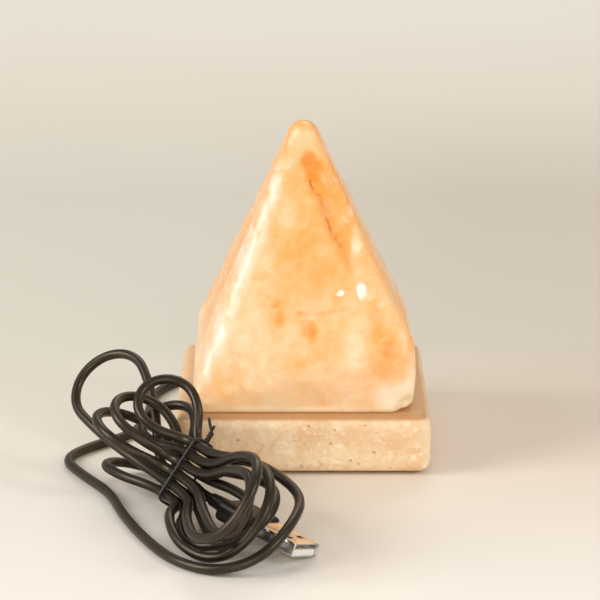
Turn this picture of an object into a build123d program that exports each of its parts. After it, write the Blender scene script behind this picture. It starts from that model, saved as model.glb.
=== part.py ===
from build123d import *

import math
import os
from collections import namedtuple

# A small table lamp: a hand-cut salt crystal stands on a square stone foot and is lit
# from inside by a round LED board. Its cord lies beside it, tied up in a hank.
# Millimetres. +Z is up, the front faces -Y, and the origin is the middle of the
# footprint, on the table. Every height below is measured from the table.

# ---------------------------------------------------------------- driving dimensions
# stone foot
FOOT_SIDE = 90.0
FOOT_THICK = 20.5
FOOT_CORNER_R = 4.0
FOOT_TOP_R = 2.2
FOOT_BOTTOM_R = 0.8
PAD_D = 10.0
PAD_THICK = 0.8
PAD_INSET = 11.0                      # from the foot's sides to a pad's middle

# salt crystal
CRYSTAL_SIDE = 79.0
CRYSTAL_TALL = 96.5
CRYSTAL_CORNER_R = 4.0
APEX_WIDE = 6.8
SHOULDER_FRONT_LEFT = 5.0             # height of the upright wall at each corner
SHOULDER_FRONT_RIGHT = 24.0
SHOULDER_BACK_RIGHT = 16.5
SHOULDER_BACK_LEFT = 14.0
RIDGE_R = 3.0
SHOULDER_R = 3.0
APEX_R = 1.0
CRYSTAL_LIP = 1.5                     # bevel round the crystal's lower edge
CAVITY_DEEP = 46.0
CAVITY_END_R = 12.0

# light unit
FIT = 0.15                            # gap between a moulding and what it sits in
BARREL_D = 40.0
BARREL_WALL = 1.8
FLANGE_D = 58.0
FLANGE_THICK = 2.5
RECESS_DEEP = 10.0
PLATE_THICK = 1.8
LEAD_HOLE_D = 14.0
RIM_BELOW_TOP = 0.5                   # the rim stays this far under the stone's top
BOARD_ROOM = 1.05                     # gap between the board's edge and the dome
BOARD_THICK = 1.6
BOARD_BELOW_TOP = 3.3                 # from the stone's top down to the board's seat
BOARD_SCREW_SPAN = 25.0
BOARD_BOSS_D = 5.0
BOARD_BOSS_TALL = 4.0
LED_SIDE = 5.0
LED_TALL = 1.6
LED_WINDOW_D = 4.0
LED_WINDOW_DEEP = 0.3
LED_RING_R = 8.0
LED_RING_COUNT = 4
CHIP_LONG = 3.2
CHIP_WIDE = 1.6
CHIP_TALL = 0.6
CHIP_RING_R = 11.8
CHIP_ANGLES = (60.0, 120.0, 270.0)
DOME_WALL = 1.5
DOME_SKIRT_TALL = 4.0
DOME_ROOM = 1.95                      # gap between the dome and the crystal's cavity

# cover under the foot and its fixings
COVER_INSET = 0.5                     # the cover lies this far up inside the foot
COVER_THICK = 2.0
POST_D = 6.0
SCREW_COUNT = 3
SCREW_FIRST = 30.0
COVER_SCREW_D = 2.8
COVER_SCREW_HEAD_D = 5.4
COVER_SCREW_LONG = 14.0
COVER_SLOT_WIDE = 0.8
COVER_SLOT_DEEP = 0.7
STONE_PLUG_D = 5.0
STONE_PLUG_LONG = 8.0

# cord inside the foot
CORD_D = 3.4
CORD_GAP = 0.05                       # between the cord and what holds it
GROMMET_D = 6.0
GROMMET_LIP_D = 9.0
GROMMET_LIP_THICK = 1.2
GROMMET_LONG = 6.0
CLAMP_LONG = 19.0
CLAMP_WIDE = 6.0
CLAMP_WING_TALL = 3.0
CLAMP_FROM_EDGE = 5.0                 # from the flange's edge to the clamp's middle
CLAMP_SCREW_SPAN = 13.0
CLAMP_SCREW_BITE = 1.8
SMALL_SCREW_D = 2.0
SMALL_SCREW_HEAD_D = 3.8
SMALL_SCREW_HEAD_TALL = 1.1
SMALL_SLOT_WIDE = 0.6
SMALL_SLOT_DEEP = 0.5
JACKET_PAST_CLAMP = 6.0               # the jacket's cut end lies this far past the clamp
WIRE_D = 1.1
WIRE_SPREAD = 1.5                     # between the two wires where the jacket ends
WIRE_PAD_SPREAD = 6.0                 # between their solder joints under the board
WIRE_PAD_Y = 3.5

# the cord's plug, lying on its lower edge with its mouth on the table
SHELL_LONG = 19.0
SHELL_WIDE = 12.0
SHELL_TALL = 4.5
SHELL_WALL = 0.3
SHELL_CORNER_R = 0.6
SHELL_BURIED = 6.0
WINDOW_SIDE = 2.2
WINDOW_FROM_TIP = 6.5
WINDOW_SPAN = 5.0
TONGUE_THICK = 1.9
TONGUE_SHORT = 1.2                    # the tongue stops this far inside the mouth
CONTACT_LONG = 7.5
CONTACT_SETBACK = 1.0
CONTACT_WIDE = 1.0
CONTACT_TALL = 0.25
CONTACT_PITCH = 2.25
CONTACT_COUNT = 4
GRIP_LONG = 18.0
GRIP_WIDE = 14.0
GRIP_TALL = 7.0
GRIP_EDGE_R = 2.0
GRIP_FRONT_R = 0.8
RELIEF_LONG = 8.0
RELIEF_D = 5.6
RELIEF_END_D = 4.6
PLUG_HEADING = -46.0
PLUG_DIP = -7.0
PLUG_ROLL = 15.0
PLUG_CORNER = Vector(4.5, -120.5, 0.05)     # the mouth's lowest corner

# the hank: six loops towards the crystal, five towards the front, tied at the waist
WAIST = Vector(-39.5, -77.0, 13.0)
HANK_HEADING = 119.0
STACK_LEAN = 52.0                     # the stack of strands in the tie, from level
HANK_ROW_COUNT = 6
STRAND_PITCH = 3.95
TIE_HALF = 2.5                        # straight cord each side of the tie's middle
LOOP_ROUND = 0.58                     # from a loop's tip to its widest place, in widths
LOOP_FLARE = 0.12                     # how far its sides still spread there
LIFT_SLOPE = 0.02                     # climb of a lifted side, for each mm of its lift
CORD_FLAT_COUNT = 8                   # sides of the cord's faceted section
GAP_STEP = 1.0                        # between the points that the gap is measured on

Loop = namedtuple("Loop", "side start end reach width heading rise roll lift")
# side is +1 towards the crystal and -1 towards the front. start and end are places in
# the tie: row 0 lies nearest the table, column -1 left and +1 right. reach and width
# are in mm, heading, rise and roll in degrees, and lift raises the side that goes back.
HANK_LOOPS = (
    Loop(+1, (5, 1), (5, -1), 31.6, 19.5, 132.5, 32.0, 155.2, 0.0),
    Loop(-1, (5, -1), (0, -1), 58.2, 41.7, -68.0, -5.1, 43.1, 10.0),
    Loop(+1, (0, -1), (0, 1), 41.1, 20.2, 116.2, -1.0, 15.1, 0.0),
    Loop(-1, (0, 1), (4, 1), 51.5, 32.7, -65.0, -0.8, 202.6, 1.6),
    Loop(+1, (4, 1), (4, -1), 35.4, 18.5, 114.1, 10.6, 158.5, 0.0),
    Loop(-1, (4, -1), (1, -1), 68.8, 34.4, -72.4, 7.5, 51.8, 4.5),
    Loop(+1, (1, -1), (1, 1), 69.3, 27.1, 119.2, 22.1, -39.8, 0.0),
    Loop(-1, (1, 1), (3, 1), 47.2, 16.7, -66.7, -2.4, 230.5, 1.8),
    Loop(+1, (3, 1), (3, -1), 36.7, 21.1, 135.1, 29.1, 184.5, 0.0),
    Loop(-1, (3, -1), (2, -1), 65.6, 25.5, -70.7, 5.1, 61.7, 5.9),
    Loop(+1, (2, -1), (2, 1), 42.5, 28.5, 130.2, 17.9, 17.5, 0.0),
)

# the cord from the foot's back to the hank: round the left side, then along the front
LEAD_POINTS = (
    (0.0, 45.0, 6.55),
    (0.0, 57.0, 6.55),
    (-9.0, 66.0, 1.75),
    (-26.0, 69.0, 1.75),
    (-46.0, 60.0, 1.75),
    (-57.0, 42.0, 1.75),
    (-57.0, 18.0, 1.75),
    (-61.0, -5.0, 1.75),
    (-76.0, -18.0, 1.75),
    (-85.0, -32.0, 1.75),
    (-77.0, -48.0, 1.75),
    (-66.0, -66.0, 1.75),
    (-60.5, -87.0, 1.75),
    (-52.0, -109.0, 1.75),
    (-42.0, -128.0, 1.75),
    (-28.0, -138.0, 1.75),
    (-13.0, -137.0, 6.0),
    (-3.0, -123.0, 13.0),
    (0.0, -106.0, 15.0),
    (-7.0, -93.0, 17.5),
    (-17.0, -88.0, 21.5),
)
LEAD_END_RUN = 8.0                    # straight run into the hank
TAIL_RUN = 5.5                        # straight runs at both ends of the tail

# wire tie round the waist
TIE_D = 1.1
TIE_GAP = 0.15
TIE_CHAMFER = 0.3
TWIST_D = 1.9
TWIST_LONG = 3.5
TWIST_TURNS = 0.75
TWIST_STEP_COUNT = 6
TAIL_LONG = 6.0
TAIL_LONG_DIR = Vector(-0.2, 0.1, 1.0)
TAIL_SHORT = 3.5
TAIL_SHORT_DIR = Vector(0.4, -0.4, 0.9)

# ---------------------------------------------------------------- derived places
underside = PAD_THICK
stone_top = underside + FOOT_THICK
recess_top = underside + RECESS_DEEP
flange_bottom = recess_top - FLANGE_THICK
board_seat = stone_top - BOARD_BELOW_TOP
board_top = board_seat + BOARD_THICK
plate_bottom = board_seat - PLATE_THICK
rim_top = stone_top - RIM_BELOW_TOP
cover_bottom = underside + COVER_INSET
cover_top = cover_bottom + COVER_THICK
cord_height = flange_bottom - CORD_GAP - CORD_D / 2
barrel_r = BARREL_D / 2
barrel_inner_r = barrel_r - BARREL_WALL
skirt_r = barrel_inner_r - FIT
skirt_inner_r = skirt_r - DOME_WALL
board_r = skirt_inner_r - BOARD_ROOM
cavity_r = skirt_r + DOME_ROOM
flange_r = FLANGE_D / 2
screw_ring_r = (barrel_r + flange_r) / 2
clamp_y = flange_r - CLAMP_FROM_EDGE
jacket_end_y = clamp_y - CLAMP_WIDE / 2 - JACKET_PAST_CLAMP
cord_r = CORD_D / 2
screw_r = COVER_SCREW_D / 2
head_r = COVER_SCREW_HEAD_D / 2
back = FOOT_SIDE / 2
pad_pitch = FOOT_SIDE - 2 * PAD_INSET
rear_face = Plane.XZ.offset(-back)    # its normal points forwards, into the stone
screw_ring = list(PolarLocations(screw_ring_r, SCREW_COUNT, start_angle=SCREW_FIRST))
os.makedirs("parts", exist_ok=True)


def save(piece, name):
    """Label a finished piece and write it under its own name."""
    piece.part.label = name
    export_step(piece.part, f"parts/{name}.step")


# ---------------------------------------------------------------- stone foot and pads
with BuildPart() as stone_base:
    with BuildSketch(Plane.XY.offset(underside)):
        RectangleRounded(FOOT_SIDE, FOOT_SIDE, FOOT_CORNER_R)
    extrude(amount=FOOT_THICK)
    fillet(stone_base.edges().group_by(Axis.Z)[-1], radius=FOOT_TOP_R)
    fillet(stone_base.edges().group_by(Axis.Z)[0], radius=FOOT_BOTTOM_R)
    with BuildSketch(Plane.XY.offset(underside)):
        Circle(flange_r + FIT)
    extrude(amount=RECESS_DEEP, mode=Mode.SUBTRACT)
    with BuildSketch(Plane.XY.offset(underside)):
        Circle(barrel_r + FIT)
    extrude(amount=FOOT_THICK, mode=Mode.SUBTRACT)
    with BuildSketch(Plane.XY.offset(recess_top)):
        with Locations(screw_ring):
            Circle(STONE_PLUG_D / 2)
    extrude(amount=STONE_PLUG_LONG, mode=Mode.SUBTRACT)
    with BuildSketch(rear_face):
        with Locations((0, cord_height)):
            Circle(GROMMET_D / 2)
    extrude(amount=back, mode=Mode.SUBTRACT)
    with BuildSketch(rear_face):
        with Locations((0, cord_height)):
            Circle(GROMMET_LIP_D / 2)
    extrude(amount=GROMMET_LIP_THICK, mode=Mode.SUBTRACT)
save(stone_base, "stone_base")

with BuildPart() as foot_pads:
    with BuildSketch():
        with GridLocations(pad_pitch, pad_pitch, 2, 2):
            Circle(PAD_D / 2)
    extrude(amount=PAD_THICK)
save(foot_pads, "foot_pads")

# ---------------------------------------------------------------- salt crystal
half_side = CRYSTAL_SIDE / 2
half_apex = APEX_WIDE / 2
apex_z = stone_top + CRYSTAL_TALL
# the four corners in turn, seen from above, each with the height of its upright wall
shoulders = (
    Vector(-half_side, -half_side, stone_top + SHOULDER_FRONT_LEFT),
    Vector(half_side, -half_side, stone_top + SHOULDER_FRONT_RIGHT),
    Vector(half_side, half_side, stone_top + SHOULDER_BACK_RIGHT),
    Vector(-half_side, half_side, stone_top + SHOULDER_BACK_LEFT),
)
# the middle of the apex edge over each side: front, right, back, left
apex_edges = (
    Vector(0, -half_apex, apex_z),
    Vector(half_apex, 0, apex_z),
    Vector(0, half_apex, apex_z),
    Vector(-half_apex, 0, apex_z),
)

with BuildPart() as salt_crystal:
    with BuildSketch(Plane.XY.offset(stone_top)):
        RectangleRounded(CRYSTAL_SIDE, CRYSTAL_SIDE, CRYSTAL_CORNER_R)
    extrude(amount=CRYSTAL_TALL)
    # each long face is one cut through two corners and the apex edge between them
    for index, shoulder in enumerate(shoulders):
        along = shoulders[(index + 1) % len(shoulders)] - shoulder
        outward = along.cross(apex_edges[index] - shoulder)
        split(bisect_by=Plane(shoulder, x_dir=along, z_dir=outward), keep=Keep.BOTTOM)
    ridges = salt_crystal.edges().filter_by(
        lambda edge: edge.bounding_box().max.Z > apex_z - APEX_R
        and edge.bounding_box().size.Z > APEX_WIDE
    )
    fillet(ridges, radius=RIDGE_R)
    fillet(salt_crystal.faces().sort_by(Axis.Z)[-1].edges(), radius=APEX_R)
    shoulder_lines = salt_crystal.edges().filter_by(
        lambda edge: edge.bounding_box().min.Z > stone_top + CRYSTAL_LIP
        and edge.bounding_box().max.Z < apex_z - CRYSTAL_SIDE / 2
        and edge.length > CRYSTAL_SIDE / 2
    )
    fillet(shoulder_lines, radius=SHOULDER_R)
    chamfer(salt_crystal.faces().sort_by(Axis.Z)[0].edges(), length=CRYSTAL_LIP)
    with BuildSketch(Plane.XY.offset(stone_top)):
        Circle(cavity_r)
    cavity = extrude(amount=CAVITY_DEEP, mode=Mode.PRIVATE)
    add(cavity.fillet(CAVITY_END_R, cavity.edges().group_by(Axis.Z)[-1]), mode=Mode.SUBTRACT)
save(salt_crystal, "salt_crystal")

# ---------------------------------------------------------------- light unit
with BuildPart() as led_holder:
    with BuildSketch(Plane.XZ):
        with BuildLine():
            Polyline(
                (LEAD_HOLE_D / 2, plate_bottom),
                (barrel_inner_r, plate_bottom),
                (barrel_inner_r, flange_bottom),
                (flange_r, flange_bottom),
                (flange_r, recess_top),
                (barrel_r, recess_top),
                (barrel_r, rim_top),
                (barrel_inner_r, rim_top),
                (barrel_inner_r, board_seat),
                (LEAD_HOLE_D / 2, board_seat),
                close=True,
            )
        make_face()
    revolve(axis=Axis.Z)
    with BuildSketch(Plane.XY.offset(plate_bottom)):
        with GridLocations(BOARD_SCREW_SPAN, 0, 2, 1):
            Circle(BOARD_BOSS_D / 2)
    extrude(amount=-BOARD_BOSS_TALL)
    with BuildSketch(Plane.XY.offset(board_seat)):
        with GridLocations(BOARD_SCREW_SPAN, 0, 2, 1):
            Circle(SMALL_SCREW_D / 2)
    extrude(amount=-(PLATE_THICK + BOARD_BOSS_TALL), mode=Mode.SUBTRACT)
    with BuildSketch(Plane.XY.offset(flange_bottom)):
        with Locations(screw_ring):
            Circle(COVER_SCREW_D / 2 + FIT)
    extrude(amount=FLANGE_THICK, mode=Mode.SUBTRACT)
    with BuildSketch(Plane.XY.offset(flange_bottom)):
        with Locations((0, clamp_y)):
            with GridLocations(CLAMP_SCREW_SPAN, 0, 2, 1):
                Circle(SMALL_SCREW_D / 2)
    extrude(amount=CLAMP_SCREW_BITE, mode=Mode.SUBTRACT)
save(led_holder, "led_holder")

with BuildPart() as led_board:
    with BuildSketch(Plane.XY.offset(board_seat)):
        Circle(board_r)
        with GridLocations(BOARD_SCREW_SPAN, 0, 2, 1):
            Circle(SMALL_SCREW_D / 2 + FIT, mode=Mode.SUBTRACT)
    extrude(amount=BOARD_THICK)
save(led_board, "led_board")

led_spots = [Location((0, 0, 0))]
led_spots += PolarLocations(LED_RING_R, LED_RING_COUNT, start_angle=45, rotate=False)
with BuildPart() as leds:
    with BuildSketch(Plane.XY.offset(board_top)):
        with Locations(led_spots):
            Rectangle(LED_SIDE, LED_SIDE)
    extrude(amount=LED_TALL)
    with BuildSketch(Plane.XY.offset(board_top + LED_TALL)):
        with Locations(led_spots):
            Circle(LED_WINDOW_D / 2)
    extrude(amount=-LED_WINDOW_DEEP, mode=Mode.SUBTRACT)
save(leds, "leds")

with BuildPart() as board_resistors:
    with BuildSketch(Plane.XY.offset(board_top)):
        for angle in CHIP_ANGLES:
            with PolarLocations(CHIP_RING_R, 1, start_angle=angle):
                Rectangle(CHIP_WIDE, CHIP_LONG)
    extrude(amount=CHIP_TALL)
save(board_resistors, "board_resistors")


def small_screw(reach):
    """A pan-head screw whose head stands on the level z = 0, its shank below it."""
    with BuildPart() as screw:
        with BuildSketch():
            Circle(SMALL_SCREW_HEAD_D / 2)
        extrude(amount=SMALL_SCREW_HEAD_TALL)
        with BuildSketch():
            Circle(SMALL_SCREW_D / 2)
        extrude(amount=-reach)
        with BuildSketch(Plane.XY.offset(SMALL_SCREW_HEAD_TALL)):
            Rectangle(SMALL_SCREW_HEAD_D, SMALL_SLOT_WIDE)
        extrude(amount=-SMALL_SLOT_DEEP, mode=Mode.SUBTRACT)
    return screw.part


board_screw = small_screw(BOARD_THICK + PLATE_THICK + BOARD_BOSS_TALL)
with BuildPart() as board_screws:
    with Locations(Plane.XY.offset(board_top)):
        with GridLocations(BOARD_SCREW_SPAN, 0, 2, 1):
            add(board_screw)
save(board_screws, "board_screws")

dome_spring = board_seat + DOME_SKIRT_TALL
with BuildPart() as diffuser_dome:
    with BuildSketch(Plane.XZ):
        with BuildLine():
            Line((skirt_r, board_seat), (skirt_r, dome_spring))
            crown = CenterArc((0, dome_spring), skirt_r, 0, 90)
            inner_crown = CenterArc((0, dome_spring), skirt_inner_r, 0, 90)
            Line(crown @ 1, inner_crown @ 1)
            Polyline(inner_crown @ 0, (skirt_inner_r, board_seat), (skirt_r, board_seat))
        make_face()
    revolve(axis=Axis.Z)
save(diffuser_dome, "diffuser_dome")

# ---------------------------------------------------------------- cover and fixings
with BuildPart() as base_cover:
    with BuildSketch(Plane.XY.offset(cover_bottom)):
        Circle(flange_r)
    extrude(amount=COVER_THICK)
    with BuildSketch(Plane.XY.offset(cover_top)):
        with Locations(screw_ring):
            Circle(POST_D / 2)
    extrude(amount=flange_bottom - cover_top)
    with Locations(Plane((0, 0, cover_bottom), x_dir=(1, 0, 0), z_dir=(0, 0, -1))):
        with PolarLocations(screw_ring_r, SCREW_COUNT, start_angle=-SCREW_FIRST):
            CounterSinkHole(
                screw_r + FIT,
                head_r + FIT,
                depth=flange_bottom - cover_bottom,
                counter_sink_angle=90,
            )
save(base_cover, "base_cover")

with BuildPart() as cover_screw:
    with BuildSketch(Plane.XZ):
        with BuildLine():
            Polyline(
                (0, 0),
                (head_r, 0),
                (screw_r, head_r - screw_r),
                (screw_r, COVER_SCREW_LONG - screw_r),
                (0, COVER_SCREW_LONG),
                close=True,
            )
        make_face()
    revolve(axis=Axis.Z)
    with BuildSketch():
        Rectangle(COVER_SCREW_HEAD_D, COVER_SLOT_WIDE)
    extrude(amount=COVER_SLOT_DEEP, mode=Mode.SUBTRACT)

with BuildPart() as cover_screws:
    with Locations(Plane.XY.offset(cover_bottom)):
        with Locations(screw_ring):
            add(cover_screw.part)
save(cover_screws, "cover_screws")

with BuildPart() as stone_plugs:
    with BuildSketch(Plane.XY.offset(recess_top)):
        with Locations(screw_ring):
            Circle(STONE_PLUG_D / 2)
            Circle(screw_r, mode=Mode.SUBTRACT)
    extrude(amount=STONE_PLUG_LONG)
save(stone_plugs, "stone_plugs")

# ---------------------------------------------------------------- cord inside the foot
with BuildPart() as cord_grommet:
    with BuildSketch(rear_face):
        with Locations((0, cord_height)):
            Circle(GROMMET_D / 2)
    extrude(amount=GROMMET_LONG)
    with BuildSketch(rear_face):
        with Locations((0, cord_height)):
            Circle(GROMMET_LIP_D / 2)
    extrude(amount=GROMMET_LIP_THICK)
    with BuildSketch(rear_face):
        with Locations((0, cord_height)):
            Circle(cord_r + CORD_GAP)
    extrude(amount=GROMMET_LONG, mode=Mode.SUBTRACT)
save(cord_grommet, "cord_grommet")

with BuildPart() as inner_cord:
    with BuildSketch(rear_face):
        with Locations((0, cord_height)):
            Circle(cord_r)
    extrude(amount=back - jacket_end_y)
save(inner_cord, "inner_cord")

saddle_r = cord_r + CORD_GAP
hump_r = saddle_r + CORD_D / 3
with BuildPart() as cord_clamp:
    with BuildSketch(Plane.XZ.offset(-clamp_y - CLAMP_WIDE / 2)):
        with Locations((0, flange_bottom)):
            Rectangle(CLAMP_LONG, CLAMP_WING_TALL, align=(Align.CENTER, Align.MAX))
        with Locations((0, cord_height)):
            Circle(hump_r)
        with Locations((0, flange_bottom)):
            Rectangle(
                CLAMP_LONG, CORD_D, align=(Align.CENTER, Align.MIN), mode=Mode.SUBTRACT
            )
            Rectangle(
                2 * saddle_r,
                flange_bottom - cord_height,
                align=(Align.CENTER, Align.MAX),
                mode=Mode.SUBTRACT,
            )
        with Locations((0, cord_height)):
            Circle(saddle_r, mode=Mode.SUBTRACT)
    extrude(amount=CLAMP_WIDE)
    with BuildSketch(Plane.XY.offset(flange_bottom)):
        with Locations((0, clamp_y)):
            with GridLocations(CLAMP_SCREW_SPAN, 0, 2, 1):
                Circle(SMALL_SCREW_D / 2 + FIT)
    extrude(amount=-CLAMP_WING_TALL, mode=Mode.SUBTRACT)
save(cord_clamp, "cord_clamp")

wing_bottom = flange_bottom - CLAMP_WING_TALL
under_wing = Plane((0, clamp_y, wing_bottom), x_dir=(1, 0, 0), z_dir=(0, 0, -1))
clamp_screw = small_screw(CLAMP_WING_TALL + CLAMP_SCREW_BITE)
with BuildPart() as clamp_screws:
    with Locations(under_wing):
        with GridLocations(CLAMP_SCREW_SPAN, 0, 2, 1):
            add(clamp_screw)
save(clamp_screws, "clamp_screws")


def corner_radii(points, show):
    """Radii for a cord's corners: each arc as large as its two runs allow."""
    spots = [Vector(point) for point in points]
    radii = []
    for before, here, after in zip(spots, spots[1:], spots[2:]):
        turn = (here - before).get_angle(after - here)
        shorter = min((here - before).length, (after - here).length)
        radii.append(0.45 * shorter / math.tan(math.radians(turn) / 2))
    print(show, "corner radii", [round(radius, 1) for radius in radii])
    return radii


def wire_points(side):
    """From the jacket's cut end forwards, then up through the plate to the board."""
    return (
        (side * WIRE_SPREAD / 2, jacket_end_y, cord_height),
        (side * WIRE_SPREAD / 2, (jacket_end_y + WIRE_PAD_Y) / 2, cord_height),
        (side * WIRE_PAD_SPREAD / 2, WIRE_PAD_Y, (cord_height + plate_bottom) / 2),
        (side * WIRE_PAD_SPREAD / 2, WIRE_PAD_Y, board_seat),
    )


for side, name in ((-1, "positive_lead"), (1, "negative_lead")):
    route = wire_points(side)
    with BuildPart() as wire:
        with BuildLine() as wire_path:
            FilletPolyline(*route, radius=corner_radii(route, name))
        with BuildSketch(Plane(origin=route[0], z_dir=wire_path.line % 0)):
            Circle(WIRE_D / 2)
        sweep(path=wire_path.line)
    save(wire, name)

# ---------------------------------------------------------------- the cord's plug


def heading_vector(heading, rise=0.0):
    """A unit vector along a heading seen from above, tipped up by the rise."""
    level = math.cos(math.radians(rise))
    east = level * math.cos(math.radians(heading))
    north = level * math.sin(math.radians(heading))
    return Vector(east, north, math.sin(math.radians(rise)))


mouth_out = heading_vector(PLUG_HEADING, PLUG_DIP)
mouth_level = Vector(0, 0, 1).cross(mouth_out).normalized()
mouth_across = mouth_level.rotate(Axis((0, 0, 0), mouth_out), -PLUG_ROLL)
mouth_up = mouth_out.cross(mouth_across)
mouth_middle = PLUG_CORNER - mouth_across * SHELL_WIDE / 2 + mouth_up * SHELL_TALL / 2
mouth = Plane(mouth_middle, x_dir=mouth_across, z_dir=mouth_out)
shell_end = mouth.offset(-SHELL_LONG - SHELL_BURIED)
grip_front = mouth.offset(-SHELL_LONG)
grip_rear = grip_front.offset(-GRIP_LONG)
relief_end = grip_rear.offset(-RELIEF_LONG)
tongue_foot = SHELL_WALL - SHELL_TALL / 2

with BuildPart() as plug_shell:
    with BuildSketch(shell_end):
        RectangleRounded(SHELL_WIDE, SHELL_TALL, SHELL_CORNER_R)
        offset(amount=-SHELL_WALL, mode=Mode.SUBTRACT)
    extrude(amount=SHELL_LONG + SHELL_BURIED)
    windows = mouth_middle - mouth_out * WINDOW_FROM_TIP
    with BuildSketch(Plane(windows, x_dir=mouth_across, z_dir=mouth_up)):
        with GridLocations(WINDOW_SPAN, 0, 2, 1):
            Rectangle(WINDOW_SIDE, WINDOW_SIDE)
    extrude(amount=SHELL_TALL, both=True, mode=Mode.SUBTRACT)
save(plug_shell, "plug_shell")

with BuildPart() as plug_tongue:
    with BuildSketch(shell_end):
        with Locations((0, tongue_foot)):
            Rectangle(
                SHELL_WIDE - 2 * SHELL_CORNER_R,
                TONGUE_THICK,
                align=(Align.CENTER, Align.MIN),
            )
    extrude(amount=SHELL_LONG + SHELL_BURIED - TONGUE_SHORT)
save(plug_tongue, "plug_tongue")

with BuildPart() as plug_contacts:
    with BuildSketch(mouth.offset(-TONGUE_SHORT - CONTACT_SETBACK)):
        with Locations((0, tongue_foot + TONGUE_THICK)):
            with GridLocations(CONTACT_PITCH, 0, CONTACT_COUNT, 1):
                Rectangle(CONTACT_WIDE, CONTACT_TALL, align=(Align.CENTER, Align.MIN))
    extrude(amount=-CONTACT_LONG)
save(plug_contacts, "plug_contacts")

with BuildPart() as plug_grip:
    with BuildSketch(grip_rear):
        RectangleRounded(GRIP_WIDE, GRIP_TALL, GRIP_EDGE_R)
    extrude(amount=GRIP_LONG)
    fillet(plug_grip.edges().group_by(Axis(mouth_middle, mouth_out))[-1], radius=GRIP_FRONT_R)
    with BuildSketch(grip_rear):
        Circle(RELIEF_D / 2)
    with BuildSketch(relief_end):
        Circle(RELIEF_END_D / 2)
    loft()
    with BuildSketch(grip_front):
        RectangleRounded(SHELL_WIDE, SHELL_TALL, SHELL_CORNER_R)
    extrude(amount=-SHELL_BURIED, mode=Mode.SUBTRACT)
save(plug_grip, "plug_grip")

# ---------------------------------------------------------------- the hank
hank_axis = heading_vector(HANK_HEADING)
to_the_right = heading_vector(HANK_HEADING - 90)
upwards = Vector(0, 0, 1)
lean = math.radians(STACK_LEAN)
stack_up = to_the_right * math.cos(lean) + upwards * math.sin(lean)
column_out = to_the_right * math.sin(lean) - upwards * math.cos(lean)
stack_half = (HANK_ROW_COUNT - 1) / 2 * STRAND_PITCH


def tie_place(row, column):
    """The middle of one strand where it passes through the tie."""
    row_place = WAIST + stack_up * (row * STRAND_PITCH - stack_half)
    return row_place + column_out * column * STRAND_PITCH / 2


def loop_stations(loop):
    """Points of a loop and the cord's direction at each: out of the tie and back in."""
    out_of_tie = hank_axis * loop.side
    reach_dir = heading_vector(loop.heading, loop.rise)
    level = upwards.cross(reach_dir).normalized()
    across = level.rotate(Axis((0, 0, 0), reach_dir), loop.roll)
    start = tie_place(*loop.start)
    end = tie_place(*loop.end)
    middle = (start + end) / 2
    widest = middle + reach_dir * (loop.reach - LOOP_ROUND * loop.width)
    half_width = across * loop.width / 2
    flare = across * LOOP_FLARE
    lift = upwards * loop.lift
    return [
        (start + out_of_tie * TIE_HALF, out_of_tie),
        (widest + half_width, (reach_dir + flare).normalized()),
        (middle + reach_dir * loop.reach, across * -1),
        (widest - half_width + lift, (flare - reach_dir + lift * LIFT_SLOPE).normalized()),
        (end + out_of_tie * TIE_HALF, out_of_tie * -1),
    ]


def two_arcs(start, start_dir, end, end_dir):
    """The tangent arcs that lead from one station to the next."""
    chord = end - start
    both = start_dir + end_dir
    bend = 2 * (1 - start_dir.dot(end_dir))
    pull = chord.dot(both)
    reach = (math.sqrt(pull * pull + bend * chord.dot(chord)) - pull) / bend
    joint = (start + end + (start_dir - end_dir) * reach) / 2
    joint_dir = ((end - end_dir * reach) - (start + start_dir * reach)).normalized()
    TangentArc(start, joint, tangent=start_dir)
    TangentArc(joint, end, tangent=joint_dir)


def tube_volume(length, flats):
    """The volume of a straight tube of this length with a faceted section."""
    return length * flats * cord_r ** 2 * math.sin(2 * math.pi / flats) / 2


def least_gap(edges):
    """The least clear space between parts of one cord that lie further along it."""
    spots = []
    run = 0.0
    for edge in edges:
        steps = max(1, round(edge.length / GAP_STEP))
        for step in range(steps):
            place = edge @ (step / steps)
            spots.append((run + edge.length * step / steps, (place.X, place.Y, place.Z)))
        run += edge.length
    skipped = 3 * CORD_D
    return min(
        math.dist(here, there)
        for index, (here_run, here) in enumerate(spots)
        for there_run, there in spots[index + 1:]
        if there_run - here_run > skipped
    ) - CORD_D


hank_start = tie_place(*HANK_LOOPS[0].start) - hank_axis * TIE_HALF
hank_end = tie_place(*HANK_LOOPS[-1].end) - hank_axis * TIE_HALF
with BuildPart() as cord_hank:
    with BuildLine() as hank_path:
        here = hank_start
        for loop in HANK_LOOPS:
            stations = loop_stations(loop)
            Line(here, stations[0][0])
            for (point, direction), (next_point, next_direction) in zip(stations, stations[1:]):
                two_arcs(point, direction, next_point, next_direction)
            here = stations[-1][0]
        Line(here, hank_end)
    with BuildSketch(Plane(hank_start, z_dir=hank_axis)):
        RegularPolygon(cord_r, CORD_FLAT_COUNT)
    sweep(path=hank_path.line)
save(cord_hank, "cord_hank")
hank_length = hank_path.wires()[0].length
print("hank length", round(hank_length), "mm")
print("hank least gap to itself", round(least_gap(hank_path.edges()), 2), "mm")
hank_volume = tube_volume(hank_length, CORD_FLAT_COUNT)
print("hank volume", round(cord_hank.part.volume), "of", round(hank_volume))

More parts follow.
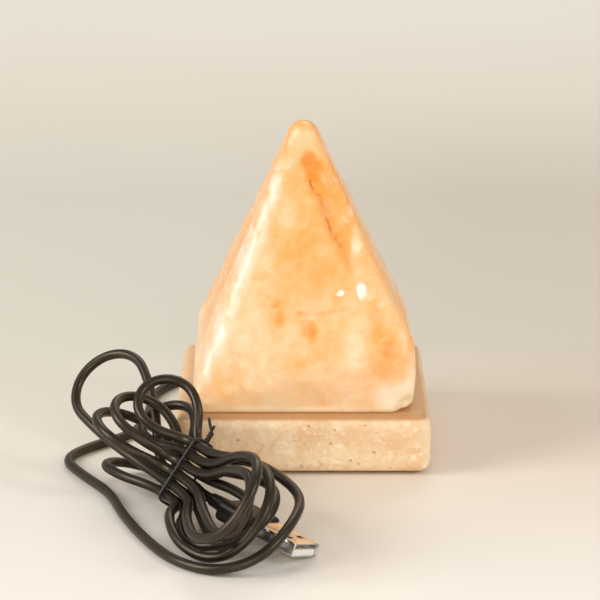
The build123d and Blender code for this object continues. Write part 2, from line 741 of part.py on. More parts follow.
# ---------------------------------------------------------------- the cord's free runs
lead_points = [Vector(point) for point in LEAD_POINTS]
lead_points += [hank_start - hank_axis * LEAD_END_RUN, hank_start]
tail_points = [
    hank_end,
    hank_end - hank_axis * TAIL_RUN,
    relief_end.origin - mouth_out * TAIL_RUN,
    relief_end.origin,
]
for points, name in ((lead_points, "cord_lead"), (tail_points, "cord_tail")):
    with BuildPart() as stretch:
        with BuildLine() as route:
            FilletPolyline(*points, radius=corner_radii(points, name))
        with BuildSketch(Plane(points[0], z_dir=route.line % 0)):
            RegularPolygon(cord_r, CORD_FLAT_COUNT)
        sweep(path=route.line)
    save(stretch, name)
    length = route.wires()[0].length
    volume = tube_volume(length, CORD_FLAT_COUNT)
    print(name, "length", round(length), "mm")
    print(name, "volume", round(stretch.part.volume), "of", round(volume))

# ---------------------------------------------------------------- wire tie
tie_plane = Plane(WAIST, x_dir=stack_up, z_dir=hank_axis)
tie_r = STRAND_PITCH / 2 + cord_r + TIE_GAP + TIE_D / 2
tie_top = WAIST + stack_up * (stack_half + tie_r)
twist_end = tie_top + stack_up * TWIST_LONG
with BuildPart() as twist_tie:
    with BuildSketch(tie_plane):
        SlotCenterToCenter(2 * stack_half, 2 * tie_r + TIE_D)
        SlotCenterToCenter(2 * stack_half, 2 * tie_r - TIE_D, mode=Mode.SUBTRACT)
    extrude(amount=TIE_D / 2, both=True)
    chamfer(twist_tie.edges(), length=TIE_CHAMFER)
    for step in range(TWIST_STEP_COUNT + 1):
        share = step / TWIST_STEP_COUNT
        turn = Rotation(0, 0, 360 * TWIST_TURNS * share)
        level = Plane(tie_top + stack_up * TWIST_LONG * share, x_dir=hank_axis, z_dir=stack_up)
        with BuildSketch(Plane(level.location * turn)):
            SlotOverall(TWIST_D, TIE_D)
    loft()
    for direction, long in ((TAIL_LONG_DIR, TAIL_LONG), (TAIL_SHORT_DIR, TAIL_SHORT)):
        with BuildSketch(Plane(twist_end, z_dir=direction)):
            RegularPolygon(TIE_D / 2, CORD_FLAT_COUNT)
        extrude(amount=long)
save(twist_tie, "twist_tie")
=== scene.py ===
from functools import reduce
import math

import bmesh
import bpy
from bpy.props import FloatProperty, FloatVectorProperty, PointerProperty
from mathutils import Matrix, Vector, noise


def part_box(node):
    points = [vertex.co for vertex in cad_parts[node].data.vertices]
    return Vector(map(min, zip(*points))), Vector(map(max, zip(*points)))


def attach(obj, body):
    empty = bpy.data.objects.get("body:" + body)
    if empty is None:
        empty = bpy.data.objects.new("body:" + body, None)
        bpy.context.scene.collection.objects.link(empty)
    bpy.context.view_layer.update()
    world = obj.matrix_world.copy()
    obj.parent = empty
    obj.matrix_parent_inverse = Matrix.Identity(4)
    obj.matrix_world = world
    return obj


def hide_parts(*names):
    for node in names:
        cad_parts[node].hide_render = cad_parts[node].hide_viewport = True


bl_info = {
    "name": "Salt crystal lamp",
    "version": (1, 0, 0),
    "blender": (4, 5, 0),
    "location": "View3D > Sidebar > Salt lamp",
    "description": "Dresses the salt crystal lamp: crystal, stone foot, cord, plug and stage",
    "category": "Add Mesh",
}

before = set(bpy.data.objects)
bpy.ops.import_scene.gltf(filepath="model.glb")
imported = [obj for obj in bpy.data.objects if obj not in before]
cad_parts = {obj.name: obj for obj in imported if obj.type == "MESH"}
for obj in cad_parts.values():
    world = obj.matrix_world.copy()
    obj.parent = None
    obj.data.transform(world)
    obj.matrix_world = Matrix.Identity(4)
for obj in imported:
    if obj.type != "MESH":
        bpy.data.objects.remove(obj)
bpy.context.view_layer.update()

MM = 0.001
FOOT_LOW, FOOT_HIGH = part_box("stone_base")
CRYSTAL_LOW, CRYSTAL_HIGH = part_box("salt_crystal")
DOME_LOW, DOME_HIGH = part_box("diffuser_dome")
GROMMET_LOW, GROMMET_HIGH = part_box("cord_grommet")
UP = Vector((0, 0, 1))
# Height of the foot's upper face in mm, where the crystal stands.
STONE_TOP = FOOT_HIGH.z / MM
# An edge counts as being at a height when both its ends are at most this far from it.
NEAR = 0.01 * MM
# The worn ridges end at the crystal's flat top, and their last steps are rounded with it.
APEX_NEAR = 0.5 * MM
# The grommet's bore and sleeve, and the thickness and rounding of its flange.
GROMMET_BORE = 3.5 * MM
GROMMET_SLEEVE = 6.0 * MM
GROMMET_FLANGE = 1.2 * MM
GROMMET_EDGE = 0.5 * MM

# ---- places on the cord
# The hank's waist, its strands in the tie, and its loops, in mm and degrees.
WAIST = Vector((-39.5, -77.0, 13.0))
HANK_HEADING = 119.0
STACK_LEAN = 52.0
HANK_ROW_COUNT = 6
STRAND_PITCH = 3.95
TIE_HALF = 2.5
LOOP_ROUND = 0.58
LOOP_FLARE = 0.12
LIFT_SLOPE = 0.02
POINTS_PER_ARC = 4
# side, start, end, reach, width, heading, rise, roll, lift: side is +1 towards the
# crystal, start and end are (row, column) places in the tie
HANK_LOOPS = (
    (+1, (5, 1), (5, -1), 31.6, 19.5, 132.5, 32.0, 155.2, 0.0),
    (-1, (5, -1), (0, -1), 58.2, 41.7, -68.0, -5.1, 43.1, 10.0),
    (+1, (0, -1), (0, 1), 41.1, 20.2, 116.2, -1.0, 15.1, 0.0),
    (-1, (0, 1), (4, 1), 51.5, 32.7, -65.0, -0.8, 202.6, 1.6),
    (+1, (4, 1), (4, -1), 35.4, 18.5, 114.1, 10.6, 158.5, 0.0),
    (-1, (4, -1), (1, -1), 68.8, 34.4, -72.4, 7.5, 51.8, 4.5),
    (+1, (1, -1), (1, 1), 69.3, 27.1, 119.2, 22.1, -39.8, 0.0),
    (-1, (1, 1), (3, 1), 47.2, 16.7, -66.7, -2.4, 230.5, 1.8),
    (+1, (3, 1), (3, -1), 36.7, 21.1, 135.1, 29.1, 184.5, 0.0),
    (-1, (3, -1), (2, -1), 65.6, 25.5, -70.7, 5.1, 61.7, 5.9),
    (+1, (2, -1), (2, 1), 42.5, 28.5, 130.2, 17.9, 17.5, 0.0),
)
# from the foot's back round its left side, then along the front to the hank
LEAD_POINTS = (
    (0.0, 45.0, 6.55),
    (0.0, 57.0, 6.55),
    (-9.0, 66.0, 1.75),
    (-26.0, 69.0, 1.75),
    (-46.0, 60.0, 1.75),
    (-57.0, 42.0, 1.75),
    (-57.0, 18.0, 1.75),
    (-61.0, -5.0, 1.75),
    (-76.0, -18.0, 1.75),
    (-85.0, -32.0, 1.75),
    (-77.0, -48.0, 1.75),
    (-66.0, -66.0, 1.75),
    (-60.5, -87.0, 1.75),
    (-52.0, -109.0, 1.75),
    (-42.0, -128.0, 1.75),
    (-28.0, -138.0, 1.75),
    (-13.0, -137.0, 6.0),
    (-3.0, -123.0, 13.0),
    (0.0, -106.0, 15.0),
    (-7.0, -93.0, 17.5),
    (-17.0, -88.0, 21.5),
)
LEAD_END_RUN = 8.0
TAIL_RUN = 5.5

# the plug: its mouth's lowest corner, its heading, dip and roll, and its sizes
PLUG_CORNER = Vector((4.5, -120.5, 0.05))
PLUG_HEADING = -46.0
PLUG_DIP = -7.0
PLUG_ROLL = 15.0
SHELL_LONG = 19.0
SHELL_BURIED = 6.0
SHELL_WIDE = 12.0
SHELL_TALL = 4.5
SHELL_WALL = 0.3
SHELL_CORNER = 0.6
SHELL_EDGE = 0.06
WINDOW_SIDE = 2.2
WINDOW_CORNER = 0.2
WINDOW_ASIDE = 2.5
WINDOW_BACK = 6.5
SEAM_WIDE = 0.12
SEAM_DEEP = 0.5
GRIP_LONG = 18.0
GRIP_WIDE = 14.0
GRIP_TALL = 7.0
GRIP_CORNER = 2.0
GRIP_FRONT_EDGE = 0.8
GRIP_REAR_EDGE = 0.9
RELIEF_LONG = 8.0
RELIEF_LAP = 1.0
RELIEF_WIDE = 5.6
RELIEF_END_WIDE = 4.6


def heading_vector(heading, rise=0.0):
    """A unit vector along a heading seen from above, tipped up by the rise."""
    level = math.cos(math.radians(rise))
    east = level * math.cos(math.radians(heading))
    north = level * math.sin(math.radians(heading))
    return Vector((east, north, math.sin(math.radians(rise))))


hank_axis = heading_vector(HANK_HEADING)
to_the_right = heading_vector(HANK_HEADING - 90)
lean = math.radians(STACK_LEAN)
stack_up = to_the_right * math.cos(lean) + UP * math.sin(lean)
column_out = to_the_right * math.sin(lean) - UP * math.cos(lean)
stack_half = (HANK_ROW_COUNT - 1) / 2 * STRAND_PITCH

mouth_out = heading_vector(PLUG_HEADING, PLUG_DIP)
mouth_level = UP.cross(mouth_out).normalized()
mouth_across = Matrix.Rotation(math.radians(-PLUG_ROLL), 3, mouth_out) @ mouth_level
mouth_up = mouth_out.cross(mouth_across)
mouth_middle = PLUG_CORNER - mouth_across * SHELL_WIDE / 2 + mouth_up * SHELL_TALL / 2
relief_end = mouth_middle - mouth_out * (SHELL_LONG + GRIP_LONG + RELIEF_LONG)
# x across the mouth, y up from its lower lip, z out of it
PLUG_FRAME = Matrix(
    (
        (mouth_across.x, mouth_up.x, mouth_out.x, mouth_middle.x * MM),
        (mouth_across.y, mouth_up.y, mouth_out.y, mouth_middle.y * MM),
        (mouth_across.z, mouth_up.z, mouth_out.z, mouth_middle.z * MM),
        (0, 0, 0, 1),
    )
)


def tie_place(row, column):
    """The middle of one strand where it passes through the tie."""
    row_place = WAIST + stack_up * (row * STRAND_PITCH - stack_half)
    return row_place + column_out * column * STRAND_PITCH / 2


def loop_stations(side, start, end, reach, width, heading, rise, roll, lift):
    """Points of a loop and the cord's direction at each: out of the tie and back in."""
    out_of_tie = hank_axis * side
    reach_dir = heading_vector(heading, rise)
    level = UP.cross(reach_dir).normalized()
    across = Matrix.Rotation(math.radians(roll), 3, reach_dir) @ level
    start_place = tie_place(*start)
    end_place = tie_place(*end)
    middle = (start_place + end_place) / 2
    widest = middle + reach_dir * (reach - LOOP_ROUND * width)
    half_width = across * width / 2
    flare = across * LOOP_FLARE
    raised = UP * lift
    return [
        (start_place + out_of_tie * TIE_HALF, out_of_tie),
        (widest + half_width, (reach_dir + flare).normalized()),
        (middle + reach_dir * reach, -across),
        (widest - half_width + raised, (flare - reach_dir + raised * LIFT_SLOPE).normalized()),
        (end_place + out_of_tie * TIE_HALF, -out_of_tie),
    ]


def arc_turns(start, direction, end):
    """The points of the arc that leaves start in a direction and ends at end."""
    chord = end - start
    half_turn = direction.angle(chord)
    aside = (chord - direction * chord.dot(direction)).normalized()
    points = []
    for step in range(POINTS_PER_ARC):
        turned = half_turn * step / POINTS_PER_ARC
        along = chord.length * math.sin(turned) / math.sin(half_turn)
        points.append(start + (direction * math.cos(turned) + aside * math.sin(turned)) * along)
    return points


def two_arcs(start, start_dir, end, end_dir):
    """Points of the tangent arcs that lead from one station of a loop to the next."""
    chord = end - start
    bend = 2 * (1 - start_dir.dot(end_dir))
    pull = chord.dot(start_dir + end_dir)
    reach = (math.sqrt(pull * pull + bend * chord.dot(chord)) - pull) / bend
    joint = (start + end + (start_dir - end_dir) * reach) / 2
    joint_dir = ((end - end_dir * reach) - (start + start_dir * reach)).normalized()
    return arc_turns(start, start_dir, joint) + arc_turns(joint, joint_dir, end)


def cord_points():
    """The control points of the whole cord in mm: the lead, the hank's turns, the tail."""
    hank_start = tie_place(*HANK_LOOPS[0][1]) - hank_axis * TIE_HALF
    hank_end = tie_place(*HANK_LOOPS[-1][2]) - hank_axis * TIE_HALF
    points = [Vector(point) for point in LEAD_POINTS]
    points.append(hank_start - hank_axis * LEAD_END_RUN)
    for loop in HANK_LOOPS:
        stations = loop_stations(*loop)
        for (point, direction), (next_point, next_dir) in zip(stations, stations[1:]):
            points += two_arcs(point, direction, next_point, next_dir)
        points.append(stations[-1][0])
    points += [hank_end - hank_axis * TAIL_RUN, relief_end - mouth_out * TAIL_RUN, relief_end]
    return points


# ---- sizes and colours
def length(name, millimetres, description):
    """A length property whose default is given in mm."""
    return FloatProperty(
        name=name, description=description, default=millimetres * MM, unit="LENGTH", precision=4
    )


def colour(name, red, green, blue, description):
    """A linear colour property."""
    return FloatVectorProperty(
        name=name, description=description, default=(red, green, blue), subtype="COLOR",
        min=0.0, max=1.0,
    )


class CrystalSettings(bpy.types.PropertyGroup):
    side: length("Side", 79.0, "Width of the crystal's square footprint")
    apex: length("Apex", 7.4, "Width of the flat top")
    front_left: length("Front left shoulder", 5.0, "Upright wall at the front left corner")
    front_right: length("Front right shoulder", 24.0, "Upright wall at the front right corner")
    back_right: length("Back right shoulder", 16.5, "Upright wall at the back right corner")
    back_left: length("Back left shoulder", 14.0, "Upright wall at the back left corner")
    ridge: length("Ridge rounding", 3.4, "How far the worn ridges and the top are rounded")
    lip: length("Lower rounding", 1.6, "Rounding of the crystal's lower edge")
    apex_round: length("Apex rounding", 0.7, "Softening of the flat top's rim")
    cavity: length("Cavity", 40.0, "Width of the hollow for the light")
    cavity_deep: length("Cavity depth", 46.0, "Depth of the hollow for the light")
    cavity_round: length("Cavity rounding", 12.0, "Rounding at the hollow's upper end")
    voxel: length("Grain", 0.85, "Size of the faces that carry the hand-cut surface")
    waves: length("Waves", 0.85, "Depth of the broad waves left by hand-cutting")
    dents: length("Dents", 0.26, "Depth of the small dents in the polished faces")
    # Painted highlight colour for the chips and the left ridge; on the chips it also stands for
    # whiter salt.
    chip_and_highlight_white: colour("White", 0.95, 0.90, 0.82, "Chipped places that catch the light")
    # Frost is the salt's cloudy colour, and is also painted as highlight streaks on the right
    # ridge.
    frost_and_sheen: colour("Frost", 0.88, 0.71, 0.50, "Bruised and cloudy salt")
    pale: colour("Pale", 0.88, 0.575, 0.315, "Pale salt")
    peach: colour("Peach", 0.87, 0.445, 0.155, "Most of the crystal")
    amber: colour("Amber", 0.865, 0.365, 0.075, "Clear orange salt")
    deep: colour("Deep orange", 0.84, 0.245, 0.006, "Iron-stained salt")
    vein: colour("Vein", 0.42, 0.16, 0.012, "Rust in the crack")


class StoneSettings(bpy.types.PropertyGroup):
    corner: length("Rounding", 4.0, "Rounding of all the foot's edges")
    top_round: length("Top softening", 2.2, "Softening where the rounding meets the top")
    foot_round: length("Lower softening", 0.8, "Softening where it meets the underside")
    recess: length("Recess", 58.3, "Width of the recess in the underside")
    recess_deep: length("Recess depth", 10.0, "Depth of the recess in the underside")
    bore: length("Bore", 40.3, "Width of the bore for the light unit")
    voxel: length("Grain", 1.0, "Size of the faces that carry the sawn surface")
    waves: length("Waves", 0.18, "Depth of the waves left by grinding")
    cream: colour("Cream", 0.93, 0.70, 0.45, "Pale ground of the stone")
    sand: colour("Sand", 0.79, 0.50, 0.265, "Darker bands of the stone")
    shell: colour("Shell", 0.97, 0.84, 0.62, "Pale flecks in the stone")
    # Painted shade: the upper face is darkened with this colour, least along its left margin.
    top: colour("Top", 0.60, 0.34, 0.155, "Handled upper face of the stone")
    deep: colour("Deep", 0.44, 0.20, 0.07, "Upper face where the crystal shades it")
    pit: colour("Pit", 0.36, 0.23, 0.13, "Dark pits in the stone")


class CordSettings(bpy.types.PropertyGroup):
    thick: length("Diameter", 3.4, "Diameter of the cord")
    total: FloatProperty(name="Length", description="Real length of the free cord",
                         default=1.71, unit="LENGTH")
    tie: length("Tie", 1.1, "Thickness of the coated wire tie")
    jacket: colour("Jacket", 0.0115, 0.0072, 0.0036, "Black rubber of the cord and grip")
    steel: colour("Steel", 0.80, 0.78, 0.74, "Plated steel of the plug's shell")


class StageSettings(bpy.types.PropertyGroup):
    elevation: FloatProperty(name="Elevation", description="How far the camera looks down",
                             default=math.radians(16.6), subtype="ANGLE")
    distance: length("Distance", 999.2, "From the camera to the point it looks at")
    lens: FloatProperty(name="Lens", description="Focal length in mm", default=166.1)
    aim_left: length("Aim left", -0.95, "Sideways place of the point looked at")
    aim_high: length("Aim height", 51.13, "Height of the point looked at")
    # The table top's colours paint its light and shade around the lamp.
    bright: colour("Bright", 0.87, 0.82, 0.75, "Table top at the front")
    left: colour("Left", 0.78, 0.735, 0.65, "Table top left of the lamp")
    right: colour("Right", 0.77, 0.665, 0.56, "Table top right of the lamp")
    dim: colour("Dim", 0.70, 0.665, 0.575, "Table top behind the lamp on the left")
    dusk: colour("Dusk", 0.65, 0.585, 0.49, "Table top behind the lamp on the right")
    far: colour("Far", 0.84, 0.78, 0.675, "Table top far behind the lamp")
    wall: colour("Wall", 0.96, 0.91, 0.82, "Soft background")


SETTINGS = (
    ("lamp_crystal", CrystalSettings),
    ("lamp_stone", StoneSettings),
    ("lamp_cord", CordSettings),
    ("lamp_stage", StageSettings),
)


# ---- shader building
class Value:
    """A shader socket to calculate with: every operation adds its Math node."""

    def __init__(self, finish, socket):
        self.finish = finish
        self.socket = socket

    def math(self, operation, *others):
        """This value and up to two others through one Math node."""
        inputs = dict(enumerate((self, *others)))
        return self.finish.add("ShaderNodeMath", {"operation": operation}, inputs)

    def __add__(self, other):
        return self.math("ADD", other)

    __radd__ = __add__

    def __mul__(self, other):
        return self.math("MULTIPLY", other)

    __rmul__ = __mul__

    def __sub__(self, other):
        return self.math("SUBTRACT", other)

    def __rsub__(self, other):
        return (self * -1) + other

    def __truediv__(self, other):
        return self.math("DIVIDE", other)

    def step(self, low, high):
        """0 below low, 1 above high, and smooth between them."""
        settings = {"interpolation_type": "SMOOTHSTEP"}
        inputs = {"Value": self, "From Min": low, "From Max": high}
        return self.finish.add("ShaderNodeMapRange", settings, inputs, "Result")


def gather(operation, values):
    """One value out of several: their sum, or the least or greatest of them."""
    return reduce(lambda first, second: first.math(operation, second), values)


class Finish:
    """One material with a Principled surface, built from procedural nodes."""

    def __init__(self, name, **constants):
        self.material = bpy.data.materials.new(name)
        self.material.use_nodes = True
        self.tree = self.material.node_tree
        self.surface = self.tree.nodes["Principled BSDF"]
        for socket, value in constants.items():
            self.surface.inputs[socket.replace("_", " ")].default_value = value
        self.place = self.add("ShaderNodeTexCoord", {}, {}, "Object")
        axes = self.add("ShaderNodeSeparateXYZ", {}, {"Vector": self.place}, "X")
        outputs = axes.socket.node.outputs
        self.x, self.y, self.z = (Value(self, outputs[axis]) for axis in "XYZ")

    def add(self, kind, settings, inputs, output=0):
        """Adds any node: its settings, then the values or links of its sockets."""
        node = self.tree.nodes.new(kind)
        for name, value in settings.items():
            if name == "stops":
                elements = node.color_ramp.elements
                while len(elements) < len(value):
                    elements.new(1.0)
                for element, (position, shade) in zip(elements, value):
                    element.position = position
                    element.color = (*shade, 1.0)
            else:
                setattr(node, name, value)
        for name, value in inputs.items():
            if isinstance(value, Value):
                self.tree.links.new(value.socket, node.inputs[name])
            elif value is not None:
                node.inputs[name].default_value = value
        return Value(self, node.outputs[output])

    def noise(self, scale, detail=4.0, roughness=0.55, distortion=0.0, where=None, output=0):
        """Cloudy patches, with values around 0.5."""
        inputs = {
            "Vector": where or self.place,
            "Scale": scale,
            "Detail": detail,
            "Roughness": roughness,
            "Distortion": distortion,
        }
        return self.add("ShaderNodeTexNoise", {}, inputs, output)

    def cells(self, scale, feature="F1", where=None):
        """Distance from the nearest of many scattered points, or from the nearest border."""
        inputs = {"Vector": where or self.place, "Scale": scale}
        return self.add("ShaderNodeTexVoronoi", {"feature": feature}, inputs, "Distance")

    def warped(self, scale, amount):
        """Object coordinates pushed about by noise, by up to the amount in metres."""
        push = self.noise(scale, detail=3.0, output="Color")
        centred = self.add(
            "ShaderNodeVectorMath", {"operation": "SUBTRACT"}, {0: push, 1: (0.5, 0.5, 0.5)}
        )
        scaled = self.add(
            "ShaderNodeVectorMath", {"operation": "SCALE"}, {0: centred, "Scale": amount * 2}
        )
        return self.add("ShaderNodeVectorMath", {"operation": "ADD"}, {0: self.place, 1: scaled})

    def face(self, where):
        """Sets what the marks of the front read as across and height, in mm."""
        across = self.add("ShaderNodeSeparateXYZ", {}, {"Vector": where}, "X")
        self.across = across / MM
        self.height = Value(self, across.socket.node.outputs["Z"]) / MM

    def stretched(self, scale, rotation):
        """Object coordinates stretched and turned, for streaks."""
        inputs = {"Vector": self.place, "Scale": scale, "Rotation": rotation}
        return self.add("ShaderNodeMapping", {}, inputs)

    def mix(self, share, first, second):
        """A colour between two others. Plain colours are three numbers."""
        settings = {"data_type": "RGBA", "clamp_factor": True}
        inputs = {0: share}
        for socket, side in ((6, first), (7, second)):
            inputs[socket] = side if isinstance(side, Value) else (*side, 1.0)
        return self.add("ShaderNodeMix", settings, inputs, 2)

    def lay_over(self, shade, *layers):
        """Lays colours over a ground one after the other, each by its share."""
        for share, tint in layers:
            shade = self.mix(share, shade, tint)
        return shade

    def oval(self, x, z, wide, tall):
        """1 in the middle of an oval place of the front, 0 outside it."""
        aside = ((self.across - x) / wide).math("POWER", 2.0)
        above = ((self.height - z) / tall).math("POWER", 2.0)
        return 1 - (aside + above).math("SQRT").step(0.15, 1.35)

    def stroke(self, points):
        """Distance in mm from a crooked line through places of the front."""
        distances = []
        for (x, z), (next_x, next_z) in zip(points, points[1:]):
            run, drop = next_x - x, next_z - z
            along = (self.across - x) * run + (self.height - z) * drop
            along = along / (run * run + drop * drop)
            along = along.math("MAXIMUM", 0.0).math("MINIMUM", 1.0)
            aside = (self.across - x - along * run).math("POWER", 2.0)
            above = (self.height - z - along * drop).math("POWER", 2.0)
            distances.append((aside + above).math("SQRT"))
        return gather("MINIMUM", distances)

    def put(self, socket, value):
        """Links a value to one of the surface's own sockets."""
        self.tree.links.new(value.socket, self.surface.inputs[socket])

    def bump(self, height, distance, strength, under=None):
        """Tilts the surface by a height, on top of another such relief."""
        inputs = {"Height": height, "Distance": distance, "Strength": strength, "Normal": under}
        return self.add("ShaderNodeBump", {}, inputs)


# ---- mesh building
def clear_selection():
    """Leaves nothing selected, because loading the frame selects the CAD nodes."""
    bpy.ops.object.select_all(action="DESELECT")
    bpy.context.view_layer.objects.active = None


def choose(piece):
    """Makes a piece the only one that is selected, and the active one."""
    clear_selection()
    piece.select_set(True)
    bpy.context.view_layer.objects.active = piece


def named(name):
    """The object just added, under its own name."""
    piece = bpy.context.object
    piece.name = name
    piece.data.name = name
    return piece


def settle(piece):
    """Puts a piece's place, turn and scale into its mesh."""
    choose(piece)
    bpy.ops.object.transform_apply(location=True, rotation=True, scale=True)
    return piece


def block(name, size, place):
    """A block of a size around a place."""
    clear_selection()
    bpy.ops.mesh.primitive_cube_add(size=1.0, location=place)
    piece = named(name)
    piece.scale = size
    return settle(piece)


def rod(name, radius, low, high, x=0.0, y=0.0, sides=64):
    """An upright rod between two heights."""
    clear_selection()
    bpy.ops.mesh.primitive_cylinder_add(
        vertices=sides, radius=radius, depth=high - low, location=(x, y, (low + high) / 2)
    )
    return settle(named(name))


def modify(piece, kind, **settings):
    """Adds a modifier and applies it."""
    choose(piece)
    modifier = piece.modifiers.new(kind.title(), kind)
    for name, value in settings.items():
        setattr(modifier, name, value)
    bpy.ops.object.modifier_apply(modifier=modifier.name)


def cut_away(piece, cutter, operation="DIFFERENCE"):
    """Takes a cutter's shape off a piece, or joins it on, and deletes the cutter."""
    modify(piece, "BOOLEAN", object=cutter, operation=operation, solver="EXACT")
    bpy.data.objects.remove(cutter)


def edit(piece):
    """Opens a piece in edit mode with nothing of it selected."""
    choose(piece)
    bpy.ops.object.mode_set(mode="EDIT")
    bpy.ops.mesh.select_all(action="DESELECT")


def choose_edges(piece, test):
    """In edit mode, selects the edges whose ends pass a test, and those between such ends."""
    bpy.ops.mesh.select_mode(type="EDGE")
    mesh = bmesh.from_edit_mesh(piece.data)
    for edge in mesh.edges:
        edge.select = test(edge.verts[0].co, edge.verts[1].co)
    mesh.select_flush(True)
    bmesh.update_edit_mesh(piece.data)


def running(axis):
    """A test for the edges that run along x, y or z."""
    return lambda first, second: abs(getattr(first, axis) - getattr(second, axis)) > MM


def above(height, near=NEAR):
    """A test for the edges at and above a height."""
    return lambda first, second: min(first.z, second.z) > height - near


def below(height, near=NEAR):
    """A test for the edges at and below a height."""
    return lambda first, second: max(first.z, second.z) < height + near


def round_edges(piece, test, amount, segments):
    """Rounds the edges that choose_edges selects. On a plain block, whose every corner ends
    an edge of each direction, a test for one direction brings in all twelve."""
    edit(piece)
    choose_edges(piece, test)
    bpy.ops.mesh.bevel(offset=amount, segments=segments, profile=0.5, clamp_overlap=True)
    bpy.ops.object.mode_set(mode="OBJECT")


def smooth(piece, degrees=40.0):
    """Shades a piece smooth, but for the edges sharper than an angle."""
    choose(piece)
    bpy.ops.object.shade_smooth_by_angle(angle=math.radians(degrees))


def round_line(name, points, thick, along, around):
    """A smooth round line along control points in mm, with its steps along and around."""
    curve = bpy.data.curves.new(name, "CURVE")
    curve.dimensions = "3D"
    spline = curve.splines.new("NURBS")
    spline.points.add(len(points) - 1)
    for control, point in zip(spline.points, points):
        control.co = (*(point * MM), 1.0)
    spline.order_u = 3
    spline.use_endpoint_u = True
    spline.resolution_u = along
    curve.bevel_depth = thick / 2
    curve.bevel_resolution = around
    curve.use_fill_caps = True
    line = bpy.data.objects.new(name, curve)
    bpy.context.scene.collection.objects.link(line)
    return line


def dress(piece, finish, body, slot, *nodes):
    """Gives a finished piece its material and its body, and hides the CAD nodes that it stands
    for.
    """
    piece.data.materials.clear()
    piece.data.materials.append(finish)
    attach(piece, body)
    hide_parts(*nodes)


def paint_nodes(finish, *nodes):
    """Gives CAD nodes that stay in view their material."""
    for node in nodes:
        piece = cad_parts[node]
        piece.data.materials.clear()
        piece.data.materials.append(finish)


def lay_on_cord(piece, y, degrees):
    """Turns an upright piece along y, at the height where the cord leaves the foot."""
    height = (GROMMET_LOW.z + GROMMET_HIGH.z) / 2
    turn = Matrix.Rotation(math.radians(degrees), 4, "X")
    piece.matrix_world = Matrix.Translation((0, y, height)) @ turn
    return settle(piece)


def fall_off(value, low, high):
    """1 at low and below, 0 at high and above, smooth between them."""
    share = min(max((value - low) / (high - low), 0.0), 1.0)
    return 1 - share * share * (3 - 2 * share)


# ---- salt crystal
# Stained (positive) and cloudy (negative) places of the front, in mm:
# x, height, half width, half height and strength.
TONES = (
    (2.0, 105.2, 3.2, 3.8, 0.72),
    (5.4, 103.8, 2.2, 2.4, 0.30),
    (2.8, 100.5, 2.8, 3.2, 0.36),
    (7.4, 99.5, 5.0, 7.0, 0.24),
    (11.0, 91.0, 4.6, 6.0, 0.20),
    (7.8, 87.5, 4.0, 5.0, 0.16),
    (16.2, 85.2, 2.2, 3.6, 0.26),
    (12.6, 80.0, 3.6, 5.6, 0.24),
    (-1.0, 76.0, 9.0, 10.0, 0.13),
    (9.5, 66.0, 9.0, 8.0, 0.13),
    (-9.0, 58.6, 2.0, 2.6, 0.22),
    (-7.4, 53.6, 2.2, 2.8, 0.28),
    (-8.0, 55.5, 5.0, 8.0, 0.09),
    (-0.4, 55.4, 1.4, 1.4, 0.24),
    (2.3, 50.2, 3.4, 2.8, 0.48),
    (3.6, 47.4, 1.8, 2.0, 0.22),
    (26.0, 54.5, 3.6, 6.5, 0.26),
    (29.6, 45.0, 4.4, 6.0, 0.34),
    (28.4, 38.0, 3.6, 3.6, 0.14),
    (-5.8, 109.0, 1.6, 4.0, 0.36),
    (-1.6, 37.5, 3.0, 3.0, 0.12),
    (-28.6, 33.0, 7.0, 7.0, 0.10),
    (-23.0, 48.0, 14.0, 14.0, -0.14),
    (-6.5, 88.0, 4.5, 8.0, -0.16),
    (-14.0, 75.0, 5.0, 8.0, -0.10),
    (14.0, 34.0, 9.0, 9.0, -0.10),
    (18.6, 78.2, 2.4, 4.2, -0.34),
    (16.8, 88.8, 1.3, 1.8, -0.24),
    (18.2, 44.5, 5.0, 7.0, -0.22),
    (0.6, 115.5, 6.0, 4.5, -0.20),
    (33.0, 28.0, 8.5, 6.5, -0.36),
    (38.5, 35.0, 3.0, 9.0, -0.22),
)
# Small flat chips that catch the light, whitened by a painted highlight: x, height, half width,
# half height.
CHIPS = (
    (13.1, 62.5, 1.5, 1.4),
    (20.4, 63.0, 2.3, 3.8),
)
# How steeply a chip leans to the right and upwards.
CHIP_TILT = (0.55, 0.15)
# The two ridges beside the front face, from below to the top, as x and height.
LEFT_RIDGE = ((-36.0, 34.0), (-4.5, 112.0))
RIGHT_RIDGE = ((39.0, 44.0), (4.0, 112.0))
# The left ridge's polished places, which also carry a painted highlight, in four numbers as the
# chips have them.
POLISHED_HIGHLIGHTS = (
    (-9.4, 93.5, 2.8, 6.8),
    (-5.0, 92.5, 1.6, 2.6),
    (-13.4, 83.0, 2.4, 8.6),
    (-20.4, 68.5, 4.2, 9.4),
    (-17.0, 76.0, 2.4, 6.0),
    (-24.2, 58.0, 2.2, 6.8),
    (-29.0, 46.4, 2.4, 7.6),
    (-33.2, 37.4, 2.0, 6.0),
)
# Rusty cracks as x and height, and the half width of the main one.
VEIN = (
    (2.2, 98.4),
    (3.9, 94.7),
    (6.4, 93.1),
    (7.1, 91.0),
    (9.9, 82.0),
    (14.1, 76.0),
    (16.0, 72.0),
)
FAINT_VEIN = ((-0.5, 55.2), (9.5, 56.4), (16.0, 56.8))
VEIN_WIDE = 0.52
# The faint light from inside, and how far red, green and blue light travel in the salt.
GLOW = 0.075
SALT_DEPTH = (0.010, 0.0045, 0.002)
# Where the tone passes from cloudy to clear to stained salt.
TONE_STOPS = (0.10, 0.32, 0.50, 0.70, 1.0)


